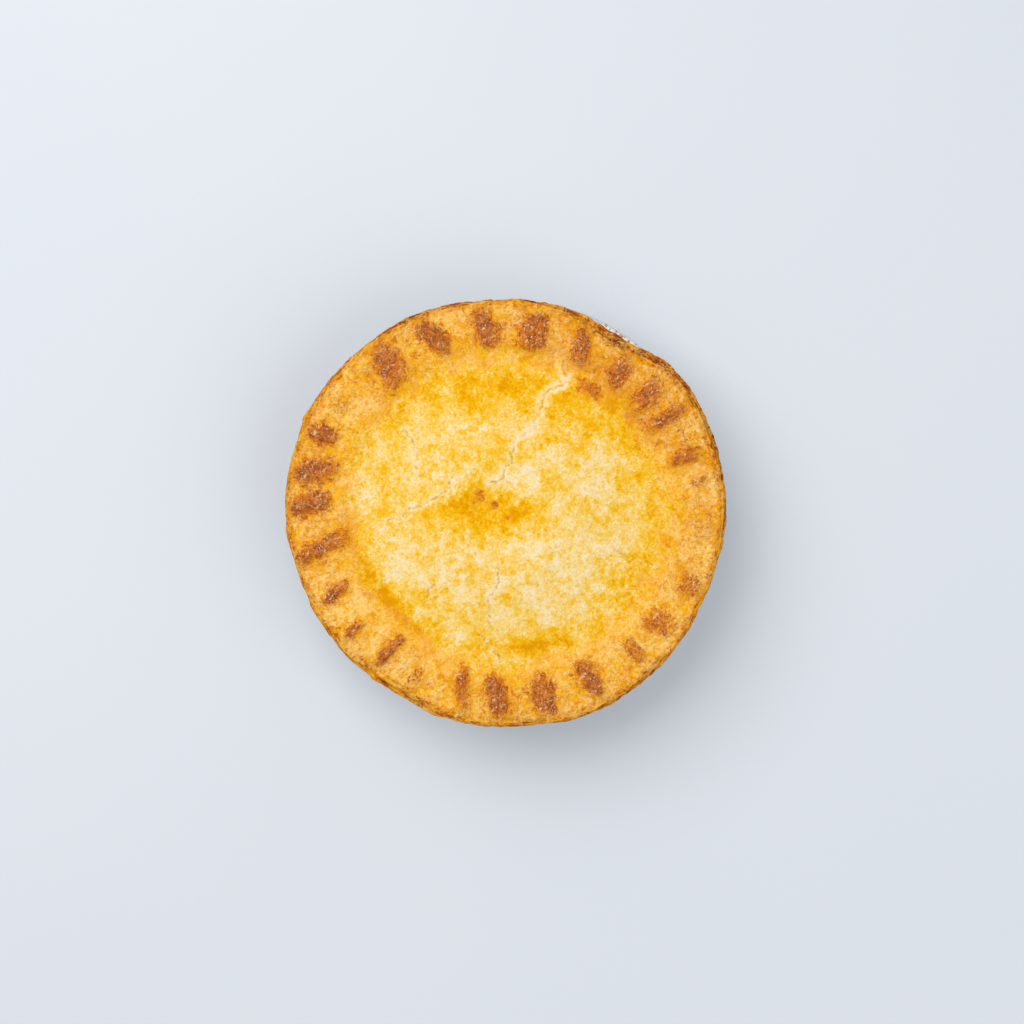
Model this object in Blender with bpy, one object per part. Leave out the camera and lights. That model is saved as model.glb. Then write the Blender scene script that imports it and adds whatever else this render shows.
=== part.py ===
"""A round, uncut pot pie with a crimped lid, in the foil tin it was baked in.

Metres, +Z up. The origin is at the middle of the tin's underside. +X and +Y are the right
and the top of the pie as it is seen from above.
"""

import math

import bpy
import numpy as np
from mathutils.geometry import delaunay_2d_cdt

MM = 0.001

# Foil tin.
TIN_WALL_RADIUS = 88.9 * MM
TIN_WALL_HEIGHT = 35.9 * MM
TIN_WALL_LEAN = math.radians(20)
TIN_CORNER_RADIUS = 5.0 * MM
TIN_CORNER_STEPS = 4
TIN_HEIGHT = 37.0 * MM
TIN_GAUGE = 0.5 * MM
TIN_BEAD_RADIUS = 1.3 * MM
TIN_BEAD_REACH = 94.8 * MM
TIN_SIDES = 88
GAP = 0.3 * MM

# Crust: its middle lies a little off the tin's, and its edge wanders about a mean radius.
CRUST_MIDDLE = (-0.6 * MM, -0.95 * MM)
CRUST_RADIUS = 98.7 * MM
CRUST_SIDES = 132
BASE_CRUST_THICKNESS = 3.0 * MM
LID_EDGE_THICKNESS = 3.2 * MM
EDGE_RAGGEDNESS = 0.22 * MM
SEAM_WANDER = 1.2 * MM
WANDER_ORDERS = (4, 7, 11, 18, 27)
BEAD_COVER = 95.2 * MM
DROOP_START = 94.0 * MM
DROOP_RATE = 30.0

# Heights of the lid's surface above the tin's underside.
DOME_HEIGHT = 48.4 * MM
VALLEY_HEIGHT = 41.5 * MM
RIM_HEIGHT = 44.2 * MM
SHOULDER_DROP = 0.7 * MM

# Radii from the crust's middle where the dome, the valley and the rim begin and end.
DOME_FLAT = 20.0 * MM
VALLEY_RADIUS = 69.0 * MM
RIM_INNER = 80.0 * MM
RIM_OUTER = 93.5 * MM

# Pinched crimps stand up from the rim between shallow finger prints.
CRIMP_HEIGHT = 2.1 * MM
PRINT_DEPTH = 0.8 * MM
CRIMP_END = 4.0 * MM

# Relief of the dome.
DIMPLE_MIDDLE = (-9.5 * MM, 4.0 * MM)
DIMPLE_SPREAD = (16.0 * MM, 12.0 * MM)
DIMPLE_DEPTH = 1.7 * MM
CRACK_DEPTH = 0.9 * MM
CRACK_HALF_WIDTH = 0.75 * MM
CRACK_LIP = 0.25 * MM
CRACK_STEP = 3.2 * MM
CRACK_JAG = 0.7 * MM
VENT_DEPTH = 2.0 * MM
VENT_SIDES = 7
BLISTER_COUNT = 90
BLISTER_HEIGHT = (0.2 * MM, 0.55 * MM)
BLISTER_RADIUS = (3.0 * MM, 7.5 * MM)
SEED = 12

# Spacing of the surface points on the dome and on the rim.
DOME_SPACING = 4.1 * MM
RIM_SPACING = 3.3 * MM
CLEARANCE = 1.5 * MM

SMOOTH_ANGLE = math.radians(45)
CRUST_COLOUR = (0.83, 0.47, 0.10, 1.0)
FOIL_COLOUR = (0.80, 0.81, 0.83, 1.0)

# Waves of the outline: order, height and the direction of a crest in degrees.
OUTLINE_WAVES = (
    (1, 0.34 * MM, 108),
    (2, 1.51 * MM, -15),
    (3, 0.91 * MM, 32),
    (4, 0.54 * MM, 24),
    (5, 0.21 * MM, 24),
    (8, 0.22 * MM, -12),
    (10, 0.33 * MM, 2),
)

# Dents and bulges of the outline: direction, half width in degrees, and size.
OUTLINE_LOBES = (
    (57, 7, -1.5 * MM),
    (41, 5, 0.9 * MM),
    (86, 9, 0.4 * MM),
    (155, 3, 0.9 * MM),
    (251, 3, 0.5 * MM),
)

# How far the base crust reaches out past the lid: direction, half width and reach.
LEAST_LEDGE = 0.25 * MM
LEDGE_LOBES = (
    (60, 18, 3.4 * MM),
    (24, 24, 1.7 * MM),
    (118, 22, 0.9 * MM),
    (238, 20, 2.3 * MM),
    (308, 30, 1.2 * MM),
)

# Crimps: direction, breadth and lean in degrees, inner and outer radius, share of the height.
CRIMPS = (
    (9.5, 3.5, 0, 84 * MM, 92 * MM, 0.5),
    (17.5, 4.0, 1, 78 * MM, 92 * MM, 0.8),
    (30.8, 3.4, 0, 75 * MM, 94 * MM, 1.0),
    (40.0, 6.0, 1, 75 * MM, 93 * MM, 0.8),
    (51.5, 5.0, 2, 75 * MM, 90 * MM, 0.8),
    (66.0, 5.5, 3, 75 * MM, 89 * MM, 1.0),
    (81.5, 8.0, -1, 74.5 * MM, 91.5 * MM, 1.0),
    (96.5, 7.0, 3, 75 * MM, 93 * MM, 1.0),
    (112.5, 5.5, 3.5, 77.5 * MM, 95 * MM, 1.1),
    (128.5, 8.5, -2, 76 * MM, 96 * MM, 0.9),
    (147.0, 4.0, 0, 86 * MM, 95 * MM, 0.35),
    (157.0, 5.0, 0, 86 * MM, 97 * MM, 1.0),
    (168.0, 6.0, 4, 80 * MM, 97 * MM, 1.0),
    (177.5, 6.5, 2, 80 * MM, 97 * MM, 1.0),
    (190.5, 5.5, 5, 74 * MM, 96 * MM, 1.0),
    (205.0, 3.6, 2, 79 * MM, 93 * MM, 1.0),
    (217.5, 2.8, 1, 84 * MM, 93 * MM, 0.6),
    (229.7, 3.2, -1, 73 * MM, 92 * MM, 1.0),
    (241.0, 3.0, 1, 80 * MM, 93 * MM, 0.4),
    (255.7, 3.4, 3, 74 * MM, 91 * MM, 0.8),
    (267.0, 6.0, 3, 74 * MM, 93 * MM, 1.0),
    (281.5, 6.0, 1, 75 * MM, 93 * MM, 1.0),
    (296.5, 5.0, 1, 77 * MM, 93 * MM, 1.0),
    (312.8, 3.4, 0, 80 * MM, 90 * MM, 0.7),
    (324.3, 6.0, 1, 79 * MM, 92 * MM, 0.7),
    (337.5, 5.0, 0, 84 * MM, 94 * MM, 0.5),
    (355.0, 5.0, 0, 84 * MM, 93 * MM, 0.3),
)

# Broad swellings inside the rim: direction, radius, half length, half width, height.
SWELLINGS = (
    (56.5, 67.0 * MM, 6.0 * MM, 3.6 * MM, 0.9 * MM),
    (31.5, 72.0 * MM, 7.0 * MM, 3.0 * MM, 0.5 * MM),
    (100.0, 71.0 * MM, 9.0 * MM, 4.0 * MM, 0.5 * MM),
    (222.0, 58.0 * MM, 12.0 * MM, 5.0 * MM, 0.4 * MM),
)

# Corners of the cracks, from the crust's middle, in millimetres.
CRACKS = (
    ((26, 70), (26, 58), (17, 52), (9, 35), (2, 22), (-1, 15), (-9, 11)),
    ((-45, 41), (-41, 24), (-38, 16)),
    ((-23, 18), (-32, 6), (-47, -2), (-55, -6)),
    ((-4, -24), (-7, -37), (-7, -52)),
    ((-13, -55), (-4, -65), (-3, -70)),
    ((-17, -7), (-12, -22)),
    ((48, -14), (57, -24), (70, -25)),
    ((-60, -35), (-47, -27)),
    ((-38, -43), (-29, -32)),
    ((75, 41), (82, 32)),
    ((-35, 67), (-36, 59)),
)

# Vent holes, from the crust's middle, with their radii.
VENTS = (
    (-12.2 * MM, 8.2 * MM, 1.4 * MM),
    (-5.7 * MM, 3.4 * MM, 1.1 * MM),
    (0.7 * MM, -2.5 * MM, 0.8 * MM),
)


def smooth(low, high, value):
    """A smooth step from 0 at low to 1 at high."""
    share = np.clip((value - low) / (high - low), 0.0, 1.0)
    return share * share * (3.0 - 2.0 * share)


def turn(angle, middle):
    """The signed difference between two directions, in degrees."""
    return (np.asarray(angle) - middle + 180.0) % 360.0 - 180.0


def lobes(angle, rows):
    """The sum of rounded lobes, each with a direction, a half width and a size."""
    return sum(size * np.exp(-((turn(angle, middle) / half) ** 2)) for middle, half, size in rows)


def outline(angle):
    """The crust's outer radius in each direction."""
    waves = sum(
        height * np.cos(order * np.radians(turn(angle, crest)))
        for order, height, crest in OUTLINE_WAVES
    )
    return CRUST_RADIUS + waves + lobes(angle, OUTLINE_LOBES)


def ledge(angle):
    """How far the base crust shows past the lid's edge in each direction."""
    return LEAST_LEDGE + lobes(angle, LEDGE_LOBES)


def droop(radius):
    """How far dough that hangs past the tin's bead sinks."""
    return DROOP_RATE * np.clip(radius - DROOP_START, 0.0, None) ** 2


def crimps(radius, angle):
    """Height of the crimps, and how much of each place they cover."""
    height = np.zeros_like(radius)
    cover = np.zeros_like(radius)
    for middle, breadth, lean, inner, outer, share in CRIMPS:
        along = (radius - inner) / (outer - inner)
        across = np.radians(turn(angle, middle + lean * (along - 0.5))) * radius
        half = np.radians(0.62 * breadth) * 0.5 * (inner + outer)
        ends = smooth(inner - 0.5 * CRIMP_END, inner + 0.5 * CRIMP_END, radius)
        ends = ends * (1.0 - smooth(outer - 0.5 * CRIMP_END, outer + 0.5 * CRIMP_END, radius))
        bump = ends * np.clip(1.0 - (across / half) ** 2, 0.0, None) ** 1.5
        height = np.maximum(height, CRIMP_HEIGHT * share * bump)
        cover = np.maximum(cover, ends * np.exp(-((across / (1.3 * half)) ** 2)))
    return height, cover


def blisters(x, y):
    """Soft, shallow bumps scattered over the lid."""
    draw = np.random.default_rng(SEED)
    total = np.zeros_like(x)
    for _ in range(BLISTER_COUNT):
        radius = 0.96 * RIM_OUTER * math.sqrt(draw.uniform())
        angle = draw.uniform(0.0, math.tau)
        size = draw.uniform(*BLISTER_RADIUS)
        height = draw.uniform(*BLISTER_HEIGHT) * draw.choice((-0.6, 1.0))
        away = np.hypot(x - radius * math.cos(angle), y - radius * math.sin(angle))
        total += height * np.exp(-((away / (0.6 * size)) ** 2))
    return total


def lid_height(x, y):
    """Height of the lid's surface at places given from the crust's middle, cracks left out."""
    radius = np.hypot(x, y)
    angle = np.degrees(np.arctan2(y, x))
    dome = DOME_HEIGHT - (DOME_HEIGHT - VALLEY_HEIGHT) * smooth(DOME_FLAT, VALLEY_RADIUS, radius)
    rise = (RIM_HEIGHT - VALLEY_HEIGHT) * smooth(VALLEY_RADIUS, RIM_INNER, radius)
    height = dome + rise + blisters(x, y)
    ridge, cover = crimps(radius, angle)
    rim = smooth(VALLEY_RADIUS + 0.5 * CRIMP_END, RIM_INNER, radius)
    edge = outline(angle) - ledge(angle)
    inside = 1.0 - smooth(edge - 6.0 * MM, edge - 1.5 * MM, radius)
    height += ridge * inside ** 0.5 - PRINT_DEPTH * rim * inside * (1.0 - cover)
    height -= SHOULDER_DROP * smooth(edge - 5.0 * MM, edge - 1.0 * MM, radius)
    for middle, out, half_length, half_width, size in SWELLINGS:
        across = (radius - out) / half_width
        along = np.radians(turn(angle, middle)) * out / half_length
        height += size * np.exp(-across * across - along * along)
    dimple = ((x - DIMPLE_MIDDLE[0]) / DIMPLE_SPREAD[0]) ** 2
    dimple = dimple + ((y - DIMPLE_MIDDLE[1]) / DIMPLE_SPREAD[1]) ** 2
    return height - DIMPLE_DEPTH * np.exp(-dimple) - droop(radius)


def jagged(corners, draw):
    """A line through the corners in short steps that wander to either side."""
    points = []
    for start, end in zip(corners, corners[1:]):
        start, end = np.array(start) * MM, np.array(end) * MM
        length = np.linalg.norm(end - start)
        steps = max(1, round(length / CRACK_STEP))
        normal = np.array((start[1] - end[1], end[0] - start[0])) / length
        for step in range(steps):
            aside = draw.uniform(-CRACK_JAG, CRACK_JAG) if step else 0.0
            points.append(start + (end - start) * step / steps + normal * aside)
    points.append(np.array(corners[-1]) * MM)
    return np.array(points)


def crack_points(line):
    """Surface points along one crack: its floor, and a lip on either side of it."""
    along = np.gradient(line, axis=0)
    along /= np.linalg.norm(along, axis=1)[:, None]
    normal = np.stack((-along[:, 1], along[:, 0]), axis=1)
    taper = np.sin(np.linspace(0.12, 1.0, len(line)) * math.pi * 0.94) ** 0.5
    rows = [(line[i], -CRACK_DEPTH * taper[i]) for i in range(len(line))]
    for side in (-1.0, 1.0):
        lip = line + side * normal * (CRACK_HALF_WIDTH * taper)[:, None]
        rows += [(lip[i], CRACK_LIP * taper[i]) for i in range(1, len(line) - 1)]
    return rows


def vent_points(x, y, radius):
    """Surface points of one vent: a pit with a slightly raised mouth."""
    rows = [(np.array((x, y)), -VENT_DEPTH)]
    for side in range(VENT_SIDES):
        turned = math.tau * side / VENT_SIDES
        place = np.array((math.cos(turned), math.sin(turned)))
        rows.append((np.array((x, y)) + 0.55 * radius * place, -0.8 * VENT_DEPTH))
        rows.append((np.array((x, y)) + radius * place, CRACK_LIP))
    return rows


def crimp_points(middle, breadth, lean, inner, outer, _share):
    """Surface points on one crimp: its crest, its flanks and the foot on either side."""
    rows = []
    half = np.radians(0.62 * breadth) * 0.5 * (inner + outer)
    for radius in np.linspace(inner - 1.5 * MM, outer + 1.0 * MM, 6):
        for side in (-1.0, -0.5, 0.0, 0.5, 1.0):
            along = (radius - inner) / (outer - inner)
            angle = math.radians(middle + lean * (along - 0.5)) + side * half / radius
            rows.append((radius * np.array((math.cos(angle), math.sin(angle))), 0.0))
    return rows


def far_from(place, taken, least):
    """Whether a place is at least this far from every point already taken."""
    return not len(taken) or np.min(np.sum((taken - place) ** 2, axis=1)) > least * least


def ring_points(radius, spacing, phase):
    """Evenly spaced places on a circle."""
    count = max(1, round(math.tau * radius / spacing))
    turned = (np.arange(count) + phase) * math.tau / count
    return radius * np.stack((np.cos(turned), np.sin(turned)), axis=1)


def lid_points(border):
    """Places of the lid's surface points and what each adds to the lid's height."""
    draw = np.random.default_rng(SEED)
    rows = []
    for vent in VENTS:
        rows += vent_points(*vent)
    for corners in CRACKS:
        taken = np.array([place for place, _ in rows])
        rows += [row for row in crack_points(jagged(corners, draw)) if far_from(row[0], taken, 0.9 * MM)]
    for crimp in CRIMPS:
        taken = np.array([place for place, _ in rows] + list(border))
        rows += [row for row in crimp_points(*crimp) if far_from(row[0], taken, 1.1 * MM)]
    radius, phase = 0.0, 0.0
    while radius < RIM_OUTER + 1.5 * MM:
        spacing = DOME_SPACING if radius < VALLEY_RADIUS - DOME_SPACING else RIM_SPACING
        taken = np.array([place for place, _ in rows] + list(border))
        for place in ring_points(radius, spacing, phase):
            place = place + draw.uniform(-0.15, 0.15, 2) * spacing
            if far_from(place, taken, max(CLEARANCE, 0.5 * spacing)):
                rows.append((place, 0.0))
        radius += 0.87 * spacing
        phase = 0.5 - phase
    return np.array([place for place, _ in rows]), np.array([added for _, added in rows])


def add_mesh(name, points, faces, material):
    """A new object with this mesh, smooth except at its sharp edges."""
    mesh = bpy.data.meshes.new(name)
    mesh.from_pydata([tuple(point) for point in points], [], faces)
    mesh.validate()
    mesh.shade_smooth()
    mesh.set_sharp_from_angle(angle=SMOOTH_ANGLE)
    mesh.materials.append(material)
    made = bpy.data.objects.new(name, mesh)
    bpy.context.scene.collection.objects.link(made)
    return made


def add_material(name, colour, roughness, metallic):
    """A plain surface with this colour, roughness and metallic share."""
    material = bpy.data.materials.new(name)
    material.use_nodes = True
    shader = material.node_tree.nodes["Principled BSDF"]
    shader.inputs["Base Color"].default_value = colour
    shader.inputs["Roughness"].default_value = roughness
    shader.inputs["Metallic"].default_value = metallic
    return material


def bands(first, sides, count):
    """Faces joining each ring of points to the next, the first ring being the lowest."""
    faces = []
    for ring in range(count - 1):
        for side in range(sides):
            after = (side + 1) % sides
            low = first + ring * sides
            high = low + sides
            faces.append((low + side, low + after, high + after))
            faces.append((low + side, high + after, high + side))
    return faces


def corner_arc(radius):
    """The rounded corner between the tin's floor and wall, for one radius about its centre."""
    rise = TIN_WALL_HEIGHT - TIN_CORNER_RADIUS * (1.0 - math.sin(TIN_WALL_LEAN))
    foot = TIN_WALL_RADIUS - rise * math.tan(TIN_WALL_LEAN)
    centre = foot - TIN_CORNER_RADIUS * math.cos(TIN_WALL_LEAN)
    turned = np.linspace(-0.5 * math.pi, -TIN_WALL_LEAN, TIN_CORNER_STEPS)
    return [
        (centre + radius * math.cos(a), TIN_CORNER_RADIUS + radius * math.sin(a)) for a in turned
    ]


def tin_profile():
    """The tin's section from the underside, out round the bead and back to its floor."""
    bead_height = TIN_HEIGHT - TIN_BEAD_RADIUS
    outside = corner_arc(TIN_CORNER_RADIUS) + [
        (TIN_WALL_RADIUS, TIN_WALL_HEIGHT),
        (TIN_BEAD_REACH - 1.2 * TIN_BEAD_RADIUS, TIN_HEIGHT - TIN_GAUGE),
    ]
    bead = [
        (
            TIN_BEAD_REACH + TIN_BEAD_RADIUS * math.cos(math.radians(turned)),
            bead_height + TIN_BEAD_RADIUS * math.sin(math.radians(turned)),
        )
        for turned in (200, 245, 290, 335, 20, 55, 90)
    ]
    inside = [
        (TIN_WALL_RADIUS + 0.6 * MM, TIN_HEIGHT),
        (TIN_WALL_RADIUS - TIN_GAUGE / math.cos(TIN_WALL_LEAN), TIN_WALL_HEIGHT + 0.2 * MM),
    ]
    return outside + bead + inside + corner_arc(TIN_CORNER_RADIUS - TIN_GAUGE)[::-1]


def add_tin(material):
    """The tin as one turned shell with a closed floor."""
    profile = tin_profile()
    turned = np.arange(TIN_SIDES) * math.tau / TIN_SIDES
    points = [(0.0, 0.0, 0.0)]
    for radius, height in profile:
        points += [(radius * math.cos(a), radius * math.sin(a), height) for a in turned]
    points.append((0.0, 0.0, TIN_GAUGE))
    faces = bands(1, TIN_SIDES, len(profile))
    last = 1 + (len(profile) - 1) * TIN_SIDES
    for side in range(TIN_SIDES):
        after = (side + 1) % TIN_SIDES
        faces.append((0, 1 + after, 1 + side))
        faces.append((len(points) - 1, last + side, last + after))
    return add_mesh("foil_tin", points, faces, material)


def filling_rings():
    """Radius and height of the pie's rings inside the tin, lowest first."""
    inside = TIN_WALL_RADIUS - (TIN_GAUGE + GAP) / math.cos(TIN_WALL_LEAN)
    return corner_arc(TIN_CORNER_RADIUS - TIN_GAUGE - GAP) + [
        (inside, TIN_WALL_HEIGHT + 0.3 * MM),
        (TIN_WALL_RADIUS + 0.4 * MM, TIN_HEIGHT + GAP),
    ]


def wander(angle, draw, size):
    """A slow wave round the edge."""
    waves = [np.cos(order * np.radians(angle) + draw.uniform(0.0, math.tau)) for order in WANDER_ORDERS]
    return size * np.mean(waves, axis=0)


def edge_rings(draw):
    """Distance in from the outline, and height, of each ring of the crust's layered edge."""
    under = TIN_HEIGHT + GAP
    top = under + BASE_CRUST_THICKNESS
    turned = np.arange(CRUST_SIDES) * 360.0 / CRUST_SIDES
    seam = top + wander(turned, draw, SEAM_WANDER)
    lid = top + LID_EDGE_THICKNESS + wander(turned, draw, 0.6 * SEAM_WANDER)
    reach = ledge(turned)
    tucked = np.maximum(reach + 0.7 * MM, 1.2 * MM)
    over_bead = np.maximum(outline(turned) - BEAD_COVER, 2.6 * MM)
    rows = [
        (over_bead, under),
        (1.3 * MM + 0 * reach, under),
        (0.3 * MM + 0 * reach, under + 0.25 * BASE_CRUST_THICKNESS),
        (0 * reach, under + 0.55 * BASE_CRUST_THICKNESS),
        (0.35 * MM + 0 * reach, seam - 0.15 * BASE_CRUST_THICKNESS),
        (tucked - 0.1 * MM, seam),
        (tucked - 0.6 * MM, seam + 0.3 * LID_EDGE_THICKNESS),
        (reach, 0.45 * seam + 0.55 * lid),
        (reach + 0.5 * MM, lid - 0.12 * LID_EDGE_THICKNESS),
    ]
    rings = []
    for inward, height in rows:
        ragged = draw.uniform(-EDGE_RAGGEDNESS, EDGE_RAGGEDNESS, CRUST_SIDES)
        radius = outline(turned) - inward + ragged
        rings.append((radius, height + 0 * radius))
    return turned, rings


def add_pie(material):
    """Filling, base crust and lid as one solid."""
    draw = np.random.default_rng(SEED)
    turned, edge = edge_rings(draw)
    cosine, sine = np.cos(np.radians(turned)), np.sin(np.radians(turned))
    points = [(0.0, 0.0, filling_rings()[0][1])]
    inner = filling_rings()
    for radius, height in inner:
        points += [(radius * c, radius * s, height) for c, s in zip(cosine, sine)]
    for radius, height in edge:
        height = height - droop(radius)
        x, y = radius * cosine + CRUST_MIDDLE[0], radius * sine + CRUST_MIDDLE[1]
        points += list(zip(x, y, height))
    ring_count = len(inner) + len(edge)
    radius = outline(turned) - ledge(turned) - 1.7 * MM
    border = np.stack((radius * cosine, radius * sine), axis=1)
    places, added = lid_points(border)
    flat = np.concatenate((border, places)) / MM
    rim = [(side, (side + 1) % CRUST_SIDES) for side in range(CRUST_SIDES)]
    inside_constraints = 1
    result = delaunay_2d_cdt([tuple(p) for p in flat], rim, [], inside_constraints, 1e-5)
    kept = [origins[0] for origins in result[3]]
    added = np.concatenate((np.zeros(CRUST_SIDES), added))[kept]
    flat = flat[kept] * MM
    height = lid_height(flat[:, 0], flat[:, 1]) + added
    start = len(points)
    points += list(zip(flat[:, 0] + CRUST_MIDDLE[0], flat[:, 1] + CRUST_MIDDLE[1], height))
    place_of = {origin: index for index, origin in enumerate(kept)}
    faces = bands(1, CRUST_SIDES, ring_count)
    last = 1 + (ring_count - 1) * CRUST_SIDES
    for side in range(CRUST_SIDES):
        after = (side + 1) % CRUST_SIDES
        here, there = start + place_of[side], start + place_of[after]
        faces.append((0, 1 + after, 1 + side))
        faces.append((last + side, last + after, there))
        faces.append((last + side, there, here))
    for face in result[2]:
        faces.append(tuple(start + corner for corner in face))
    return add_mesh("pie", points, faces, material)


for leftover in list(bpy.data.objects):
    bpy.data.objects.remove(leftover, do_unlink=True)

add_tin(add_material("foil", FOIL_COLOUR, 0.28, 1.0))
add_pie(add_material("crust", CRUST_COLOUR, 0.55, 0.0))
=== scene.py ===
import itertools
import math

import bmesh
import bpy
import numpy as np
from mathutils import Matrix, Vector
from mathutils.geometry import delaunay_2d_cdt


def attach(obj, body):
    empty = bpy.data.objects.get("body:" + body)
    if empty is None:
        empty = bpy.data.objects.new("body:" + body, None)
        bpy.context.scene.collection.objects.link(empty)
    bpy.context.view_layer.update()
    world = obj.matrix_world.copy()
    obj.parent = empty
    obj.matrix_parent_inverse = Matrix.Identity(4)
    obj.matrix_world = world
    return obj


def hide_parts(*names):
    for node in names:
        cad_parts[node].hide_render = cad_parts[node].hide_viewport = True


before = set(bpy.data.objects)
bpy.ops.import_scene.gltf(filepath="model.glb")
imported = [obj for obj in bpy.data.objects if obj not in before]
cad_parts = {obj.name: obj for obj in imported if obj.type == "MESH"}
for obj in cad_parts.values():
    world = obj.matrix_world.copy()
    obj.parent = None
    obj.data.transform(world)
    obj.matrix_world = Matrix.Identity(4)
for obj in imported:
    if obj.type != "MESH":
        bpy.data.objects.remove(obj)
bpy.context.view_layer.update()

# A millimetre in metres: add_mesh turns one into the other.
MM = 0.001
SEED = 12

# Sizes of the tin and the crust, in millimetres as all shapes here, as in the solids.
TIN_WALL_RADIUS = 88.9
TIN_WALL_HEIGHT = 35.9
TIN_WALL_LEAN = math.radians(20)
TIN_CORNER_RADIUS = 5.0
TIN_HEIGHT = 37.0
TIN_GAUGE = 0.5
TIN_BEAD_RADIUS = 1.3
TIN_BEAD_REACH = 94.8
GAP = 0.3
CRUST_MIDDLE = (-0.6, -0.95)
CRUST_RADIUS = 98.7
BASE_CRUST_THICKNESS = 3.0
LID_EDGE_THICKNESS = 3.2
SEAM_WANDER = 1.2
WANDER_ORDERS = (4, 7, 11, 18, 27)
BEAD_COVER = 95.2
DROOP_START = 94.0
DROOP_RATE = 0.03
DOME_HEIGHT = 48.4
VALLEY_HEIGHT = 41.5
RIM_HEIGHT = 44.2
SHOULDER_DROP = 0.7
DOME_FLAT = 20.0
VALLEY_RADIUS = 69.0
RIM_INNER = 80.0
RIM_OUTER = 93.5
CRIMP_HEIGHT = 2.1
PRINT_DEPTH = 0.8
CRIMP_END = 4.0
DIMPLE_MIDDLE = (-9.5, 4.0)
DIMPLE_SPREAD = (16.0, 12.0)
DIMPLE_DEPTH = 1.7
CRACK_DEPTH = 0.9
BLISTER_COUNT = 90
BLISTER_HEIGHT = (0.2, 0.55)
BLISTER_RADIUS = (3.0, 7.5)

# Mesh density of the crust and the tin, and how far inside its edge the lid's own mesh starts.
CRUST_SIDES = 840
LID_SPACING = 0.76
CRACK_SPACING = 0.55
EDGE_STEPS = 3
BORDER_INSET = 1.7
TIN_SIDES = 528

# Cells in the tables that noise is drawn from, and a shift that keeps the middle off their corners.
NOISE_CELLS = 64
NOISE_SHIFT = 1000.37

# The outline's waves: how many round the crust, height and direction of a crest.
OUTLINE_WAVES = (
    (1, 0.34, 108),
    (2, 1.51, -15),
    (3, 0.91, 32),
    (4, 0.54, 24),
    (5, 0.21, 24),
    (8, 0.22, -12),
    (10, 0.33, 2),
)
# Lobes, here and below: direction and half width in degrees, and size.
OUTLINE_LOBES = (
    (56, 8.5, -2.1),
    (41, 5, 0.9),
    (86, 9, 0.4),
    (155, 3, 0.9),
    (251, 3, 0.5),
)
LEAST_LEDGE = 0.25
LEDGE_LOBES = (
    (60, 18, 3.4),
    (24, 24, 1.7),
    (118, 22, 0.9),
    (238, 20, 2.3),
    (308, 30, 1.2),
)

# Crimps: direction, breadth and lean in degrees, inner and outer radius, height and browning.
CRIMPS = (
    (9.5, 3.5, 0, 84, 92, 0.5, 0.5), (17.5, 4.4, 1, 77, 92, 0.8, 0.9),
    (30.8, 4.2, 0, 74, 94, 1.0, 1.0), (40.0, 6.6, 1, 74, 92, 0.8, 0.9),
    (51.5, 6.0, 2, 74, 90, 0.8, 0.95), (66.0, 6.0, 3, 74, 90, 1.0, 1.0),
    (81.5, 8.0, -1, 74.5, 91.5, 1.0, 0.95), (96.5, 7.0, 3, 75, 93, 1.0, 1.0),
    (112.5, 5.5, 3.5, 77.5, 95, 1.1, 1.1), (128.5, 8.5, -2, 76, 96, 0.9, 1.0),
    (147.0, 4.0, 0, 86, 95, 0.35, 0.35), (157.0, 5.0, 0, 84, 98, 1.0, 1.0),
    (167.5, 6.5, 3, 79, 99, 1.0, 1.05), (177.5, 5.5, 3, 80, 100, 1.0, 1.0),
    (190.5, 5.5, 5, 73, 98, 1.0, 0.95), (205.0, 3.6, 2, 79, 93, 1.0, 0.95),
    (217.5, 2.8, 1, 82, 93, 0.6, 0.8), (229.7, 3.2, -1, 73, 92, 1.0, 0.95),
    (241.0, 3.0, 1, 80, 93, 0.4, 0.5), (255.7, 3.8, 3, 72, 92, 0.8, 0.9),
    (267.0, 6.0, 3, 74, 93, 1.0, 1.05), (281.5, 6.6, 1, 74, 94, 1.0, 0.85),
    (296.5, 5.0, 1, 75, 93, 1.0, 1.0), (312.8, 3.8, 0, 78, 91, 0.7, 0.8),
    (324.3, 6.6, 1, 78, 93, 0.7, 0.75), (337.5, 5.5, 0, 82, 95, 0.5, 0.68),
    (355.0, 5.0, 0, 84, 93, 0.3, 0.4),
)
# Swellings: direction in degrees, radius, half length, half width and height.
SWELLINGS = (
    (56.5, 67.0, 6.0, 3.6, 0.9),
    (31.5, 72.0, 7.0, 3.0, 0.5),
    (100.0, 71.0, 9.0, 4.0, 0.5),
    (222.0, 58.0, 12.0, 5.0, 0.4),
)

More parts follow.
